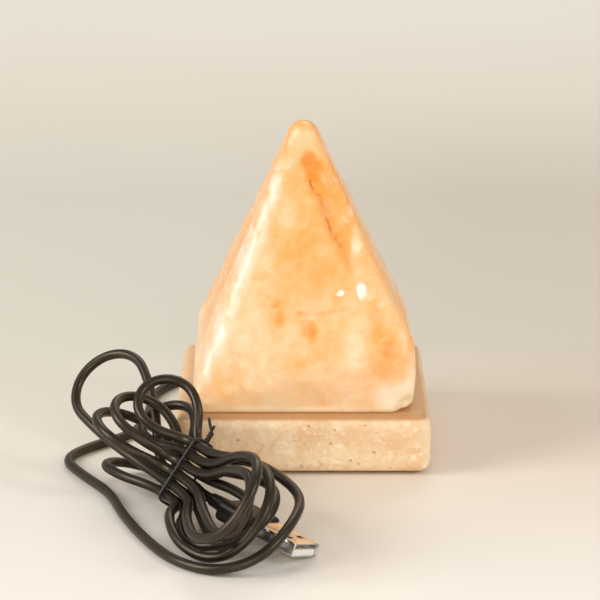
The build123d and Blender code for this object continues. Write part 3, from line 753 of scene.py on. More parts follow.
class SaltFinish(Finish):
    """Polished salt: stained and cloudy places, veins, chips, worn ridges and painted highlights.
    """

    def __init__(self, settings):
        super().__init__(
            "salt_crystal_polished",
            IOR=1.54,
            Subsurface_Weight=0.35,
            Subsurface_Radius=SALT_DEPTH,
            Subsurface_Scale=1.0,
            Emission_Strength=GLOW,
            Specular_IOR_Level=0.6,
        )
        self.pushed = self.warped(75.0, 2.6 * MM)
        self.face(self.pushed)
        self.front = (self.y * -1).step(1 * MM, 7 * MM)
        self.broad = self.noise(24.0, detail=3.0, distortion=0.4)
        self.cloudy = self.noise(60.0, detail=6.0, roughness=0.62, distortion=0.7)
        self.ragged = self.noise(170.0, detail=6.0, roughness=0.68, distortion=0.5)
        self.grain = self.noise(420.0, detail=5.0, roughness=0.65)
        self.rubbed = 1 - self.height.step(STONE_TOP + 0.6, STONE_TOP + 3.0)
        # The ridge masks make the ridges duller, and carry painted highlights along them.
        self.ridge = (1 - self.stroke(LEFT_RIDGE).step(1.6, 6.6)) * self.front
        self.right = (1 - self.stroke(RIGHT_RIDGE).step(2.0, 5.0)) * self.front
        polished = gather("ADD", [self.oval(*place) for place in POLISHED_HIGHLIGHTS])
        self.polished = (polished * (self.ragged * 1.1 + 0.5)).step(0.10, 0.85) * self.ridge
        self.chips, self.leans = self.chipped()
        shade = self.marked(self.salt(settings), settings)
        self.put("Base Color", shade)
        self.put("Emission Color", shade)
        self.put("Roughness", self.rough())
        self.put("Normal", self.relief())

    def salt(self, settings):
        """The salt's own colour, from cloudy to stained."""
        rise = self.height.step(STONE_TOP, STONE_TOP + 95)
        foot = 1 - self.height.step(STONE_TOP + 2, STONE_TOP + 24)
        tone = (self.broad - 0.5) * 0.30 + (self.cloudy - 0.5) * 0.30
        tone = tone + (self.ragged - 0.5) * 0.24 + 0.46
        tone = tone + rise * 0.08 - foot * 0.13 + (self.grain - 0.5) * 0.08
        stained = gather("ADD", [self.oval(*place) * strength for *place, strength in TONES])
        tone = tone + stained * self.front * (self.ragged * 1.3 + 0.35)
        elsewhere = self.noise(34.0, detail=4.0, distortion=1.0)
        tone = tone + (elsewhere - 0.5) * (1 - self.front) * 0.5
        shades = (settings.frost_and_sheen, settings.pale, settings.peach, settings.amber, settings.deep)
        stops = tuple(zip(TONE_STOPS, shades))
        return self.add("ShaderNodeValToRGB", {"stops": stops}, {"Fac": tone}, "Color")

    def marked(self, shade, settings):
        """The colour with its veins, seams and specks, and painted highlights on the chips and
        worn ridges.
        """
        crooked = (self.noise(260.0, detail=3.0) - 0.5) * 1.2
        broken = self.noise(230.0, detail=3.0).step(0.34, 0.56)
        off_vein = self.stroke(VEIN) + crooked
        halo = 1 - off_vein.step(0.2, VEIN_WIDE * 6.0)
        faded = self.height.step(VEIN[-1][1] - 2, VEIN[0][1] - 6) * 0.6 + 0.35
        vein = (1 - off_vein.step(VEIN_WIDE * 0.2, VEIN_WIDE * 1.8)) * broken * faded
        off_faint = self.stroke(FAINT_VEIN) + crooked
        faint = (1 - off_faint.step(0.1, VEIN_WIDE * 3.0)) * broken
        seams = self.cells(52.0, feature="DISTANCE_TO_EDGE", where=self.warped(90.0, 9 * MM))
        seam = (1 - seams.step(0.0, 0.05)) * self.cloudy.step(0.44, 0.62)
        specks = self.cells(380.0, where=self.pushed)
        speck = (1 - specks.step(0.05, 0.17)) * self.broad.step(0.44, 0.56)
        return self.lay_over(
            shade,
            (halo * self.front * 0.42, settings.deep),
            (vein * self.front, settings.vein),
            (faint * self.front * 0.35, settings.deep),
            (seam * 0.16, settings.deep),
            (speck * 0.30, settings.deep),
            (self.rubbed * self.ragged.step(0.35, 0.6) * 0.45, settings.frost_and_sheen),
            # Painted highlights: white on the chips, along the left ridge and on its polished
            # places.
            (self.chips * 0.85, settings.chip_and_highlight_white),
            (self.ridge * (self.ragged.step(0.40, 0.66) * 0.34 + 0.06), settings.chip_and_highlight_white),
            (self.polished * 0.34, settings.chip_and_highlight_white),
            # Painted highlight streaks along the right ridge.
            (self.right * self.ragged.step(0.46, 0.66) * 0.45, settings.frost_and_sheen),
        )

    def chipped(self):
        """Where the chips are, and the lean of their faces."""
        chips = []
        leans = []
        for x, z, wide, tall in CHIPS:
            chip = self.oval(x, z, wide, tall) * (self.ragged * 0.7 + 0.75)
            chip = chip.step(0.10, 0.80) * self.front
            lean = (self.x / MM - x) * CHIP_TILT[0] + (self.z / MM - z) * CHIP_TILT[1]
            chips.append(chip)
            leans.append(chip * lean * -1)
        return gather("ADD", chips), gather("ADD", leans)

    def rough(self):
        """Duller where the salt is cloudy, rubbed or worn, and bright on the chips."""
        worn = self.ridge * (1 - self.polished) * 0.34 + self.polished * 0.13
        worn = worn + self.right * (1 - self.ragged.step(0.52, 0.66)) * 0.32
        dull = self.cloudy.step(0.40, 0.75) * 0.16 + 0.17
        return (dull + self.rubbed * 0.3 + worn) * (1 - self.chips * 0.5)

    def relief(self):
        """Fine grain, dents, the flats left by polishing, and the lean of the chips."""
        fine = self.bump(self.grain, 0.10 * MM, 0.4)
        uneven = self.bump(self.ragged, 0.5 * MM, 0.5, under=fine)
        facets = self.noise(105.0, detail=1.0, roughness=0.4, distortion=0.2)
        uneven = self.bump(facets, 1.2 * MM, 0.5, under=uneven)
        return self.bump(self.leans, 1.0 * MM, 0.9, under=uneven)


# How close to a cutting plane a corner is left on it, and how close corners are merged.
CUT_NEAR = 0.001 * MM
MERGE_NEAR = 0.01 * MM
# The broken lower corner at the front right: how deep, its core and how far it reaches.
CHIP_DEEP = 3.4 * MM
CHIP_CORE = 1.5 * MM
CHIP_REACH = 9 * MM


def carve(piece, settings):
    """Moves the outside of the crystal in and out as hand-cutting left it."""
    low = CRYSTAL_LOW.z
    cavity_top = low + settings.cavity_deep
    inner = settings.cavity / 2 + 1 * MM
    chipped = Vector((settings.side / 2, -settings.side / 2, low))
    core = Vector((0, 0, low + settings.side / 3))
    piece.data.update()
    moved = []
    for vertex in piece.data.vertices:
        place = vertex.co
        inside = math.hypot(place.x, place.y) < inner and place.z < cavity_top + 1 * MM
        if inside:
            moved.append(place.copy())
            continue
        free = 1 - fall_off(place.z - low, 0.3 * MM, 3 * MM)
        waves = noise.noise(place * 40.0) * 0.62 + noise.noise(place * 92.0 + UP * 3) * 0.42
        dents = noise.noise(place * 210.0) + 0.4 * noise.noise(place * 430.0)
        out = waves * settings.waves + dents * settings.dents
        ragged = 0.8 + 0.5 * noise.noise(place * 260.0)
        chip = fall_off((place - chipped).length, CHIP_CORE, CHIP_REACH) * ragged
        shift = vertex.normal * (out - settings.waves * 0.35) * free
        moved.append(place + shift + (core - place).normalized() * chip * CHIP_DEEP)
    for vertex, place in zip(piece.data.vertices, moved):
        vertex.co = place


class LAMP_OT_crystal(bpy.types.Operator):
    """Cut the salt crystal from a block, hollow it and roughen it by hand"""

    bl_idname = "lamp.crystal"
    bl_label = "Salt crystal"

    def execute(self, context):
        settings = context.scene.lamp_crystal
        low = CRYSTAL_LOW.z
        high = CRYSTAL_HIGH.z
        half = settings.side / 2
        half_apex = settings.apex / 2
        piece = block("crystal", (settings.side, settings.side, high - low),
                      (0, 0, (low + high) / 2))
        corners = (
            Vector((-half, -half, low + settings.front_left)),
            Vector((half, -half, low + settings.front_right)),
            Vector((half, half, low + settings.back_right)),
            Vector((-half, half, low + settings.back_left)),
        )
        tops = ((0, -half_apex), (half_apex, 0), (0, half_apex), (-half_apex, 0))
        edit(piece)
        for index, corner in enumerate(corners):
            along = corners[(index + 1) % 4] - corner
            outward = along.cross(Vector((*tops[index], high)) - corner).normalized()
            bpy.ops.mesh.select_all(action="SELECT")
            bpy.ops.mesh.bisect(plane_co=corner, plane_no=outward, use_fill=True,
                                clear_outer=True, threshold=CUT_NEAR)
        bpy.ops.mesh.select_all(action="SELECT")
        bpy.ops.mesh.remove_doubles(threshold=MERGE_NEAR)
        bpy.ops.object.mode_set(mode="OBJECT")

        def worn(first, second):
            """A test for the ridges and the long edges above the foot."""
            steep = abs(first.z - second.z) > settings.apex
            across = min(first.z, second.z) > low + MM and (first - second).length > half
            return steep or across

        round_edges(piece, worn, settings.ridge, 5)
        round_edges(piece, above(high, APEX_NEAR), settings.apex_round, 3)
        round_edges(piece, below(low), settings.lip, 4)
        cavity_top = low + settings.cavity_deep
        hollow = rod("cutter", settings.cavity / 2, low - 5 * MM, cavity_top)
        round_edges(hollow, above(cavity_top), settings.cavity_round, 8)
        cut_away(piece, hollow)
        modify(piece, "REMESH", mode="VOXEL", voxel_size=settings.voxel)
        modify(piece, "SMOOTH", factor=0.5, iterations=2)
        carve(piece, settings)
        smooth(piece, 60.0)
        dress(piece, SaltFinish(settings).material, "crystal", "salt", "salt_crystal")
        return {"FINISHED"}


# ---- stone foot
# Marks on the foot's front in mm: pits and pale flecks (x, height, radius), and streaks.
PITS = (
    (-22.5, 13.5, 0.55),
    (9.9, 12.1, 0.65),
    (24.9, 8.7, 0.5),
    (16.5, 5.8, 0.4),
    (-0.3, 3.6, 0.5),
    (30.5, 3.2, 0.4),
    (-31.0, 9.0, 0.5),
)
FLECKS = (
    (0.4, 17.6, 0.9),
    (-5.9, 11.8, 0.8),
    (14.1, 15.7, 0.7),
    (39.5, 17.2, 0.9),
    (10.1, 3.2, 1.1),
    (38.5, 7.2, 1.0),
    (-4.2, 3.4, 1.7),
    (27.0, 13.2, 0.8),
    (-15.0, 16.4, 0.7),
)
STREAKS = (
    ((-19.3, 12.2), (-23.6, 6.2)),
    ((-14.0, 11.8), (-17.1, 4.6)),
    ((-8.4, 14.6), (-11.6, 9.8)),
)
# Grinding left waves in the outer band of the foot, above its lower edge.
GROUND_BAND = 6 * MM
GROUND_FROM = 1.5 * MM
# Where the painted shade of the upper face begins, and where the front with its marks does.
TOP_FADE = (FOOT_HIGH.z - 1.6 * MM, FOOT_HIGH.z - 0.4 * MM)
FRONT_FADE = (36 * MM, 41 * MM)


class StoneFinish(Finish):
    """Sawn cream stone with sandy clouds, shell flecks and pits."""

    def __init__(self, settings):
        super().__init__("stone_sawn", IOR=1.5, Specular_IOR_Level=0.35)
        self.face(self.warped(320.0, 0.9 * MM))
        self.front = (self.y * -1).step(*FRONT_FADE)
        self.top = self.z.step(*TOP_FADE)
        self.aside = self.x / MM
        self.warm_left = 1 - self.aside.step(-45.0, 15.0)
        self.mottle = self.noise(190.0, detail=6.0, roughness=0.70, distortion=0.7)
        self.speckle = self.noise(620.0, detail=5.0, roughness=0.72)
        pit = self.pitted()
        shade = self.marked(self.ground(settings), pit, settings)
        self.put("Base Color", shade)
        self.put("Roughness", self.mottle * 0.25 + 0.32 + pit * 0.2)
        grain = self.noise(1100.0, detail=3.0, roughness=0.7)
        fine = self.bump(grain, 0.10 * MM, 0.5)
        worked = self.bump(self.mottle, 0.30 * MM, 0.45, under=fine)
        self.put("Normal", self.bump(1 - pit, 0.35 * MM, 0.8, under=worked))

    def spot(self, x, z, radius):
        """1 in the middle of a mark on the front, 0 outside it."""
        return self.oval(x, z, radius, radius) * self.front

    def ground(self, settings):
        """Cream stone with sandy clouds and pale mottling, flecks and shards."""
        clouds = self.noise(34.0, detail=5.0, roughness=0.6, distortion=0.6)
        flecks = self.cells(330.0, where=self.warped(380.0, 2.0 * MM))
        fleck = (1 - flecks.step(0.16, 0.34)) * self.noise(75.0, detail=2.0).step(0.40, 0.58)
        shards = self.cells(115.0, where=self.stretched((1.0, 1.0, 2.4), (0.0, 0.6, 0.3)))
        shard = (1 - shards.step(0.14, 0.30)) * self.mottle.step(0.44, 0.56)
        rings = self.cells(85.0, feature="DISTANCE_TO_EDGE", where=self.warped(140.0, 5 * MM))
        ring = (1 - rings.step(0.01, 0.06)) * self.speckle.step(0.42, 0.56)
        return self.lay_over(
            settings.cream,
            (clouds.step(0.36, 0.68), settings.sand),
            (self.warm_left * 0.45, settings.sand),
            (self.mottle.step(0.48, 0.68) * 0.36, settings.shell),
            ((1 - self.mottle.step(0.28, 0.46)) * 0.60, settings.sand),
            (self.speckle.step(0.52, 0.66) * 0.30, settings.shell),
            ((1 - self.speckle.step(0.34, 0.49)) * 0.60, settings.sand),
            (fleck * 0.55, settings.shell),
            (shard * 0.6, settings.shell),
            (ring * 0.5, settings.sand),
        )

    def marked(self, shade, pit, settings):
        """The ground with painted shade on its top, a painted highlight on its right edge, and its
        marks.
        """
        inside_margin = self.aside.step(-44.0, -37.0) * 0.65 + 0.2
        # Painted highlight down the right upright edge of the front.
        lit_right_edge = self.aside.step(40.0, 44.5) * self.front * (1 - self.top) * 0.5
        flecks = [self.spot(*fleck) for fleck in FLECKS]
        streaks = [(1 - self.stroke(streak).step(0.1, 0.9)) * self.front for streak in STREAKS]
        bands = self.stretched((7.0, 1.0, 1.0), (0.0, 0.65, 0.0))
        band = self.noise(30.0, detail=5.0, where=bands).step(0.57, 0.66) * self.warm_left * 0.6
        return self.lay_over(
            shade,
            # Painted shade on the upper face, lightest along the left margin and darkest in front
            # of the crystal.
            (self.top * inside_margin, settings.top),
            (self.top * self.front * 0.55, settings.deep),
            # Painted highlight on the right edge.
            (lit_right_edge, settings.shell),
            *((fleck * 0.6, settings.shell) for fleck in flecks),
            *((streak * 0.22, settings.deep) for streak in streaks),
            (pit * 0.65, settings.pit),
            (band, settings.sand),
        )

    def pitted(self):
        """1 in the pits: scattered small ones, and the larger ones of the front."""
        pits = self.cells(300.0, where=self.warped(45.0, 5 * MM))
        small = (1 - pits.step(0.07, 0.17)) * self.noise(130.0, detail=2.0).step(0.52, 0.62)
        return gather("MAXIMUM", [small, *(self.spot(*pit) for pit in PITS)])


class LAMP_OT_stone(bpy.types.Operator):
    """Saw, round and bore the stone foot"""

    bl_idname = "lamp.stone"
    bl_label = "Stone foot"

    def execute(self, context):
        settings = context.scene.lamp_stone
        low, high = FOOT_LOW.z, FOOT_HIGH.z
        piece = block("stone_foot", FOOT_HIGH - FOOT_LOW, (FOOT_LOW + FOOT_HIGH) / 2)
        round_edges(piece, running("z"), settings.corner, 6)
        round_edges(piece, above(high), settings.top_round, 5)
        round_edges(piece, below(low), settings.foot_round, 3)
        cut_away(piece, rod("cutter", settings.recess / 2, low - MM, low + settings.recess_deep))
        cut_away(piece, rod("cutter", settings.bore / 2, low - MM, high + MM))
        cord_hole = rod("cutter", GROMMET_SLEEVE / 2, 0.0, FOOT_HIGH.y)
        cut_away(piece, lay_on_cord(cord_hole, 0.0, -90))
        modify(piece, "REMESH", mode="VOXEL", voxel_size=settings.voxel)
        modify(piece, "SMOOTH", factor=0.5, iterations=2)
        for vertex in piece.data.vertices:
            place = vertex.co
            outer = max(abs(place.x), abs(place.y)) > FOOT_HIGH.x - GROUND_BAND
            if outer and place.z > low + GROUND_FROM:
                wave = noise.noise(place * 55.0) * 0.6 + noise.noise(place * 150.0) * 0.4
                vertex.co = place + vertex.normal * (wave - 0.25) * settings.waves
        smooth(piece, 50.0)
        dress(piece, StoneFinish(settings).material, "base", "stone", "stone_base")
        return {"FINISHED"}


# ---- light unit
def moulded_finish(name, tint, rough):
    """A moulded plastic or rubber: faint cloudiness, fine grain and rubbed patches."""
    finish = Finish(name)
    cloud = finish.noise(60.0, detail=3.0)
    fine = finish.noise(900.0, detail=4.0, roughness=0.65)
    darker = tuple(channel * 0.82 for channel in tint)
    finish.put("Base Color", finish.mix(cloud.step(0.35, 0.7), tint, darker))
    finish.put("Roughness", cloud * 0.14 + (rough - 0.07) + fine * 0.05)
    finish.put("Normal", finish.bump(fine, 0.05 * MM, 0.45))
    return finish.material


def metal_finish(name, tint, rough):
    """A plated or turned metal with faint working marks and dulled patches."""
    finish = Finish(name, Metallic=1.0)
    cloud = finish.noise(220.0, detail=4.0)
    marks = finish.noise(700.0, detail=5.0)
    duller = tuple(channel * 0.78 for channel in tint)
    finish.put("Base Color", finish.mix(cloud.step(0.4, 0.75), tint, duller))
    finish.put("Roughness", cloud * 0.16 + (rough - 0.08) + marks * 0.06)
    finish.put("Normal", finish.bump(marks, 0.02 * MM, 0.35))
    return finish.material


# CAD nodes of plastic or rubber that stay in view: names, material, colour, roughness.
MOULDED = (
    (("led_holder", "base_cover", "cord_clamp"), "white_moulding", (0.80, 0.79, 0.75), 0.48),
    (("stone_plugs",), "natural_nylon", (0.74, 0.73, 0.68), 0.5),
    (("led_board",), "white_solder_mask", (0.84, 0.85, 0.83), 0.28),
    (("board_resistors",), "black_ceramic_chip", (0.035, 0.035, 0.037), 0.45),
    (("positive_lead",), "red_insulation", (0.55, 0.02, 0.015), 0.4),
    (("negative_lead",), "black_insulation", (0.02, 0.02, 0.02), 0.4),
)
DOME_WALL = 1.5 * MM
PAD_RADIUS = 5 * MM
PAD_EDGE = 0.25 * MM
# How far the rim of an LED stands above its phosphor.
LED_RIM = 0.35 * MM


class LAMP_OT_light_unit(bpy.types.Operator):
    """Finish the light unit, its cover and its fixings"""

    bl_idname = "lamp.light_unit"
    bl_label = "Light unit"

    def execute(self, context):
        for nodes, name, tint, rough in MOULDED:
            paint_nodes(moulded_finish(name, tint, rough), *nodes)
        steel = metal_finish("zinc_plated_steel", (0.62, 0.62, 0.60), 0.34)
        paint_nodes(steel, "cover_screws", "board_screws", "clamp_screws")
        paint_nodes(led_finish(), "leds")
        paint_nodes(cord_finish(context.scene.lamp_cord), "inner_cord")
        self.dome()
        self.pads()
        self.grommet()
        return {"FINISHED"}

    def dome(self):
        """The milky dome: half a ball on a short upright skirt."""
        radius = (DOME_HIGH.x - DOME_LOW.x) / 2
        spring = DOME_HIGH.z - radius
        clear_selection()
        bpy.ops.mesh.primitive_uv_sphere_add(
            segments=72, ring_count=36, radius=radius, location=(0, 0, spring)
        )
        piece = settle(named("diffuser"))
        edit(piece)
        bpy.ops.mesh.select_all(action="SELECT")
        bpy.ops.mesh.bisect(plane_co=(0, 0, spring), plane_no=(0, 0, -1), clear_outer=True)
        choose_edges(piece, below(spring))
        bpy.ops.mesh.extrude_region_move(
            TRANSFORM_OT_translate={"value": (0, 0, DOME_LOW.z - spring)}
        )
        bpy.ops.mesh.select_all(action="SELECT")
        bpy.ops.mesh.normals_make_consistent(inside=False)
        bpy.ops.object.mode_set(mode="OBJECT")
        modify(piece, "SOLIDIFY", thickness=DOME_WALL, offset=-1.0)
        smooth(piece)
        finish = Finish("milky_diffuser", IOR=1.49, Subsurface_Weight=0.5, Emission_Strength=0.05,
                        Subsurface_Radius=(0.006, 0.005, 0.004), Subsurface_Scale=1.0)
        cloud = finish.noise(70.0, detail=3.0)
        warm = finish.mix(cloud.step(0.3, 0.7), (0.95, 0.90, 0.80), (0.93, 0.84, 0.70))
        finish.put("Base Color", warm)
        finish.put("Emission Color", warm)
        finish.put("Roughness", cloud * 0.1 + 0.3)
        dress(piece, finish.material, "base", "diffuser", "diffuser_dome")

    def pads(self):
        """Four thin pads, each with a rounded lower rim."""
        low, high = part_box("foot_pads")
        finish = moulded_finish("pad_rubber", (0.03, 0.029, 0.028), 0.7)
        for index, (side_x, side_y) in enumerate(((-1, -1), (1, -1), (1, 1), (-1, 1))):
            x = side_x * (high.x - PAD_RADIUS)
            y = side_y * (high.y - PAD_RADIUS)
            pad = rod(f"pad_{index + 1}", PAD_RADIUS, low.z, high.z, x, y, 48)
            round_edges(pad, below(low.z), PAD_EDGE, 3)
            smooth(pad)
            dress(pad, finish, "base", "pad_rubber", "foot_pads")

    def grommet(self):
        """The rubber grommet: a sleeve with a rounded flange, bored for the cord."""
        flange = (GROMMET_HIGH.x - GROMMET_LOW.x) / 2
        deep = GROMMET_HIGH.y - GROMMET_LOW.y
        piece = rod("grommet", flange, 0.0, GROMMET_FLANGE)
        round_edges(piece, below(0.0), GROMMET_EDGE, 4)
        cut_away(piece, rod("sleeve", GROMMET_SLEEVE / 2, GROMMET_EDGE, deep), "UNION")
        cut_away(piece, rod("cutter", GROMMET_BORE / 2, -MM, deep + MM))
        lay_on_cord(piece, GROMMET_HIGH.y, 90)
        smooth(piece, 35.0)
        rubber = moulded_finish("grommet_rubber", (0.022, 0.021, 0.020), 0.6)
        dress(piece, rubber, "base", "grommet_rubber", "cord_grommet")


def led_finish():
    """White bodies whose round windows are filled with yellow phosphor."""
    finish = Finish("led_body", Emission_Strength=0.05)
    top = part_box("leds")[1].z
    window = 1 - (finish.z - (top - LED_RIM)).step(0.0, 0.05 * MM)
    shade = finish.mix(window, (0.9, 0.88, 0.8), (0.95, 0.62, 0.12))
    finish.put("Base Color", shade)
    finish.put("Emission Color", shade)
    finish.put("Roughness", finish.noise(400.0) * 0.2 + 0.25)
    return finish.material


# ---- cord, tie and plug
WARM_SHEEN = (1.0, 0.84, 0.66, 1.0)
DUST = (0.12, 0.095, 0.07)


def cord_finish(settings):
    """Satin black rubber with faint scuffs and dust."""
    finish = Finish("cord_jacket_rubber", IOR=1.5, Specular_IOR_Level=0.55,
                    Specular_Tint=WARM_SHEEN)
    scuffs = finish.noise(45.0, detail=6.0, roughness=0.65, distortion=0.5)
    dust = finish.noise(380.0, detail=5.0, roughness=0.7)
    fine = finish.noise(1600.0, detail=3.0)
    greyed = tuple(channel * 2.0 for channel in settings.jacket)
    scuffed = (scuffs.step(0.42, 0.72) * 0.6, greyed)
    dusty = (dust.step(0.64, 0.78) * 0.25, DUST)
    finish.put("Base Color", finish.lay_over(settings.jacket, scuffed, dusty))
    finish.put("Roughness", scuffs * 0.20 + 0.27)
    worn = finish.bump(scuffs, 0.15 * MM, 0.25)
    finish.put("Normal", finish.bump(fine, 0.04 * MM, 0.35, under=worn))
    return finish.material


class LAMP_OT_cord(bpy.types.Operator):
    """Lay the cord from the foot to the plug in one smooth line, hank and all"""

    bl_idname = "lamp.cord"
    bl_label = "Cord"

    def execute(self, context):
        settings = context.scene.lamp_cord
        cord = round_line("cord", cord_points(), settings.thick, along=6, around=5)
        dress(cord, cord_finish(settings), "base", "cord_jacket",
              "cord_lead", "cord_hank", "cord_tail")
        return {"FINISHED"}


# The tie: its room round the strands, its twist, and the points of a quarter turn, in mm.
TIE_GAP = 0.15
TWIST_START = 0.2
TWIST_LONG = 3.5
TWIST_TURNS = 1.5
TWIST_POINTS = 14
RING_POINTS = 4
# Its two cut ends: where they point, how long they are, and the bow of the long one.
LONG_END_DIR = Vector((-0.2, 0.1, 1.0)).normalized()
LONG_END = 5.6
LONG_END_BEND = 3.0
LONG_END_BOW = 0.4
SHORT_END_DIR = Vector((0.4, -0.4, 0.9)).normalized()
SHORT_END = 3.2
# The wire's share of the thickness that the twist and the ring are laid out for.
WIRE_SHARE = 0.92


class LAMP_OT_tie(bpy.types.Operator):
    """Wind the coated wire round the hank's waist and twist its ends together"""

    bl_idname = "lamp.tie"
    bl_label = "Wire tie"

    def execute(self, context):
        settings = context.scene.lamp_cord
        thick = settings.tie / MM
        hug = settings.thick / MM / 2 + TIE_GAP + thick / 2
        top = WAIST + stack_up * (stack_half + hug)

        def strand(turn):
            """One of the two wires of the twist, from the ring outwards."""
            twisted = []
            for step in range(TWIST_POINTS):
                share = step / (TWIST_POINTS - 1)
                angle = turn + 2 * math.pi * TWIST_TURNS * share
                aside = hank_axis * math.cos(angle) + column_out * math.sin(angle)
                place = top + stack_up * (TWIST_START + TWIST_LONG * share)
                twisted.append(place + aside * thick * 0.5)
            return twisted

        def half_ring(side):
            """From the twist round one side of the ring to its lowest place."""
            ring = [top]
            for row_side, steps in ((1, range(RING_POINTS + 1)), (-1, range(RING_POINTS, -1, -1))):
                strand_place = WAIST + stack_up * stack_half * row_side
                strand_place += column_out * side * STRAND_PITCH / 2
                for step in steps:
                    angle = math.pi / 2 * step / RING_POINTS
                    aside = column_out * math.sin(angle) * side
                    turned = aside + stack_up * math.cos(angle) * row_side
                    ring.append(strand_place + turned * hug)
            ring.append(WAIST - stack_up * (stack_half + hug))
            return ring

        first = strand(0.0)
        second = strand(math.pi)
        bend = first[-1] + LONG_END_DIR * LONG_END_BEND + hank_axis * LONG_END_BOW
        points = [first[-1] + LONG_END_DIR * LONG_END, bend]
        points += list(reversed(first)) + half_ring(-1)
        points += list(reversed(half_ring(1)))[1:] + second
        points += [second[-1] + SHORT_END_DIR * SHORT_END * share for share in (0.5, 1.0)]
        choose(round_line("wire_tie", points, settings.tie * WIRE_SHARE, along=5, around=4))
        bpy.ops.object.convert(target="MESH")
        tie = bpy.context.object
        smooth(tie, 60.0)
        coated = moulded_finish("tie_coating", (0.018, 0.017, 0.016), 0.4)
        dress(tie, coated, "base", "tie_plastic", "twist_tie")
        return {"FINISHED"}


class LAMP_OT_plug(bpy.types.Operator):
    """Make the flat plug: shell, tongue, contacts and moulded grip"""

    bl_idname = "lamp.plug"
    bl_label = "Plug"

    def execute(self, context):
        self.shell(context.scene.lamp_cord)
        self.grip(context.scene.lamp_cord)
        paint_nodes(moulded_finish("white_tongue", (0.82, 0.81, 0.77), 0.35), "plug_tongue")
        paint_nodes(metal_finish("gold_plated", (0.85, 0.60, 0.22), 0.3), "plug_contacts")
        return {"FINISHED"}

    def bar(self, name, size, middle, axis, corner, segments):
        """A rounded block in mm, in the plug's own axes: its mouth's middle, and z out of it."""
        piece = block(name, tuple(side * MM for side in size), tuple(x * MM for x in middle))
        round_edges(piece, running(axis), corner * MM, segments)
        return piece

    def into_place(self, piece):
        """Moves a piece from the plug's own axes to its place on the table."""
        piece.matrix_world = PLUG_FRAME
        return settle(piece)

    def shell(self, settings):
        """A folded steel tube with two square windows on each wide side and a seam."""
        long = SHELL_LONG + SHELL_BURIED
        inner = (SHELL_WIDE - 2 * SHELL_WALL, SHELL_TALL - 2 * SHELL_WALL, long + 2)
        middle = (0, 0, -long / 2)
        piece = self.bar("plug_shell_dressed", (SHELL_WIDE, SHELL_TALL, long), middle,
                         "z", SHELL_CORNER, 5)
        cut_away(piece, self.bar("cutter", inner, middle, "z", SHELL_CORNER - SHELL_WALL, 3))
        window = (WINDOW_SIDE, 2 * SHELL_TALL, WINDOW_SIDE)
        for aside in (-WINDOW_ASIDE, WINDOW_ASIDE):
            place = (aside, 0, -WINDOW_BACK)
            cut_away(piece, self.bar("cutter", window, place, "y", WINDOW_CORNER, 3))
        seam = block("cutter", (SEAM_WIDE * MM, SEAM_DEEP * MM, (long + 1) * MM),
                     (0, -SHELL_TALL / 2 * MM, -long / 2 * MM))
        cut_away(piece, seam)
        modify(piece, "BEVEL", width=SHELL_EDGE * MM, segments=2, limit_method="ANGLE",
               angle_limit=math.radians(50))
        self.into_place(piece)
        smooth(piece, 35.0)
        bright = metal_finish("nickel_plate", tuple(settings.steel), 0.2)
        dress(piece, bright, "base", "plug_steel", "plug_shell")

    def grip(self, settings):
        """The moulded grip, and the tapered sleeve that takes the cord's bend."""
        front = -SHELL_LONG
        rear = front - GRIP_LONG
        piece = self.bar("plug_grip_dressed", (GRIP_WIDE, GRIP_TALL, GRIP_LONG),
                         (0, 0, (front + rear) / 2), "z", GRIP_CORNER, 7)
        round_edges(piece, above(front * MM), GRIP_FRONT_EDGE * MM, 4)
        round_edges(piece, below(rear * MM), GRIP_REAR_EDGE * MM, 4)
        clear_selection()
        bpy.ops.mesh.primitive_cone_add(
            vertices=48,
            radius1=RELIEF_END_WIDE / 2 * MM,
            radius2=RELIEF_WIDE / 2 * MM,
            depth=(RELIEF_LONG + RELIEF_LAP) * MM,
            location=(0, 0, (rear - (RELIEF_LONG - RELIEF_LAP) / 2) * MM),
        )
        cut_away(piece, settle(named("sleeve")), "UNION")
        self.into_place(piece)
        smooth(piece, 30.0)
        rubber = moulded_finish("plug_rubber", tuple(settings.jacket), 0.42)
        dress(piece, rubber, "base", "plug_rubber", "plug_grip")


class LAMP_OT_declare_cord(bpy.types.Operator):
    """Does nothing: the cord's real length and what is on it are not stated here"""

    bl_idname = "lamp.declare_cord"
    bl_label = "Declare the cord"

    def execute(self, context):
        return {"FINISHED"}


# ---- stage
# The floor's side and how often it is divided, and how far its colours reach, in metres.
FLOOR_SIDE = 8.0
FLOOR_CUTS = 12
FLOOR_FRONT = 0.16
FLOOR_BACK = 0.90
# The room's even light.
FILL_TINT = (1.0, 0.97, 0.92, 1.0)
FILL_STRENGTH = 0.42
# A soft window on the left, a wide low fill in front, a small lamp on the right and one
# behind: name, place, size, power and tint. All point at one place.
LAMPS = (
    ("left_window", (-1.25, -0.40, 0.80), 0.75, 15.0, (1.0, 0.98, 0.95)),
    ("front_fill", (0.25, -1.9, 0.55), 1.5, 16.0, (1.0, 0.97, 0.92)),
    ("side_light", (1.2, -0.55, 0.9), 0.36, 6.0, (1.0, 0.97, 0.92)),
    ("rim_light", (0.2, 1.3, 1.5), 1.0, 8.0, (1.0, 0.97, 0.93)),
)
LAMPS_AIM = Vector((0, 0, 0.05))
# The camera's sensor in mm, and the nearest and farthest it sees in metres.
SENSOR = 36.0
NEAREST = 0.01
FARTHEST = 20.0


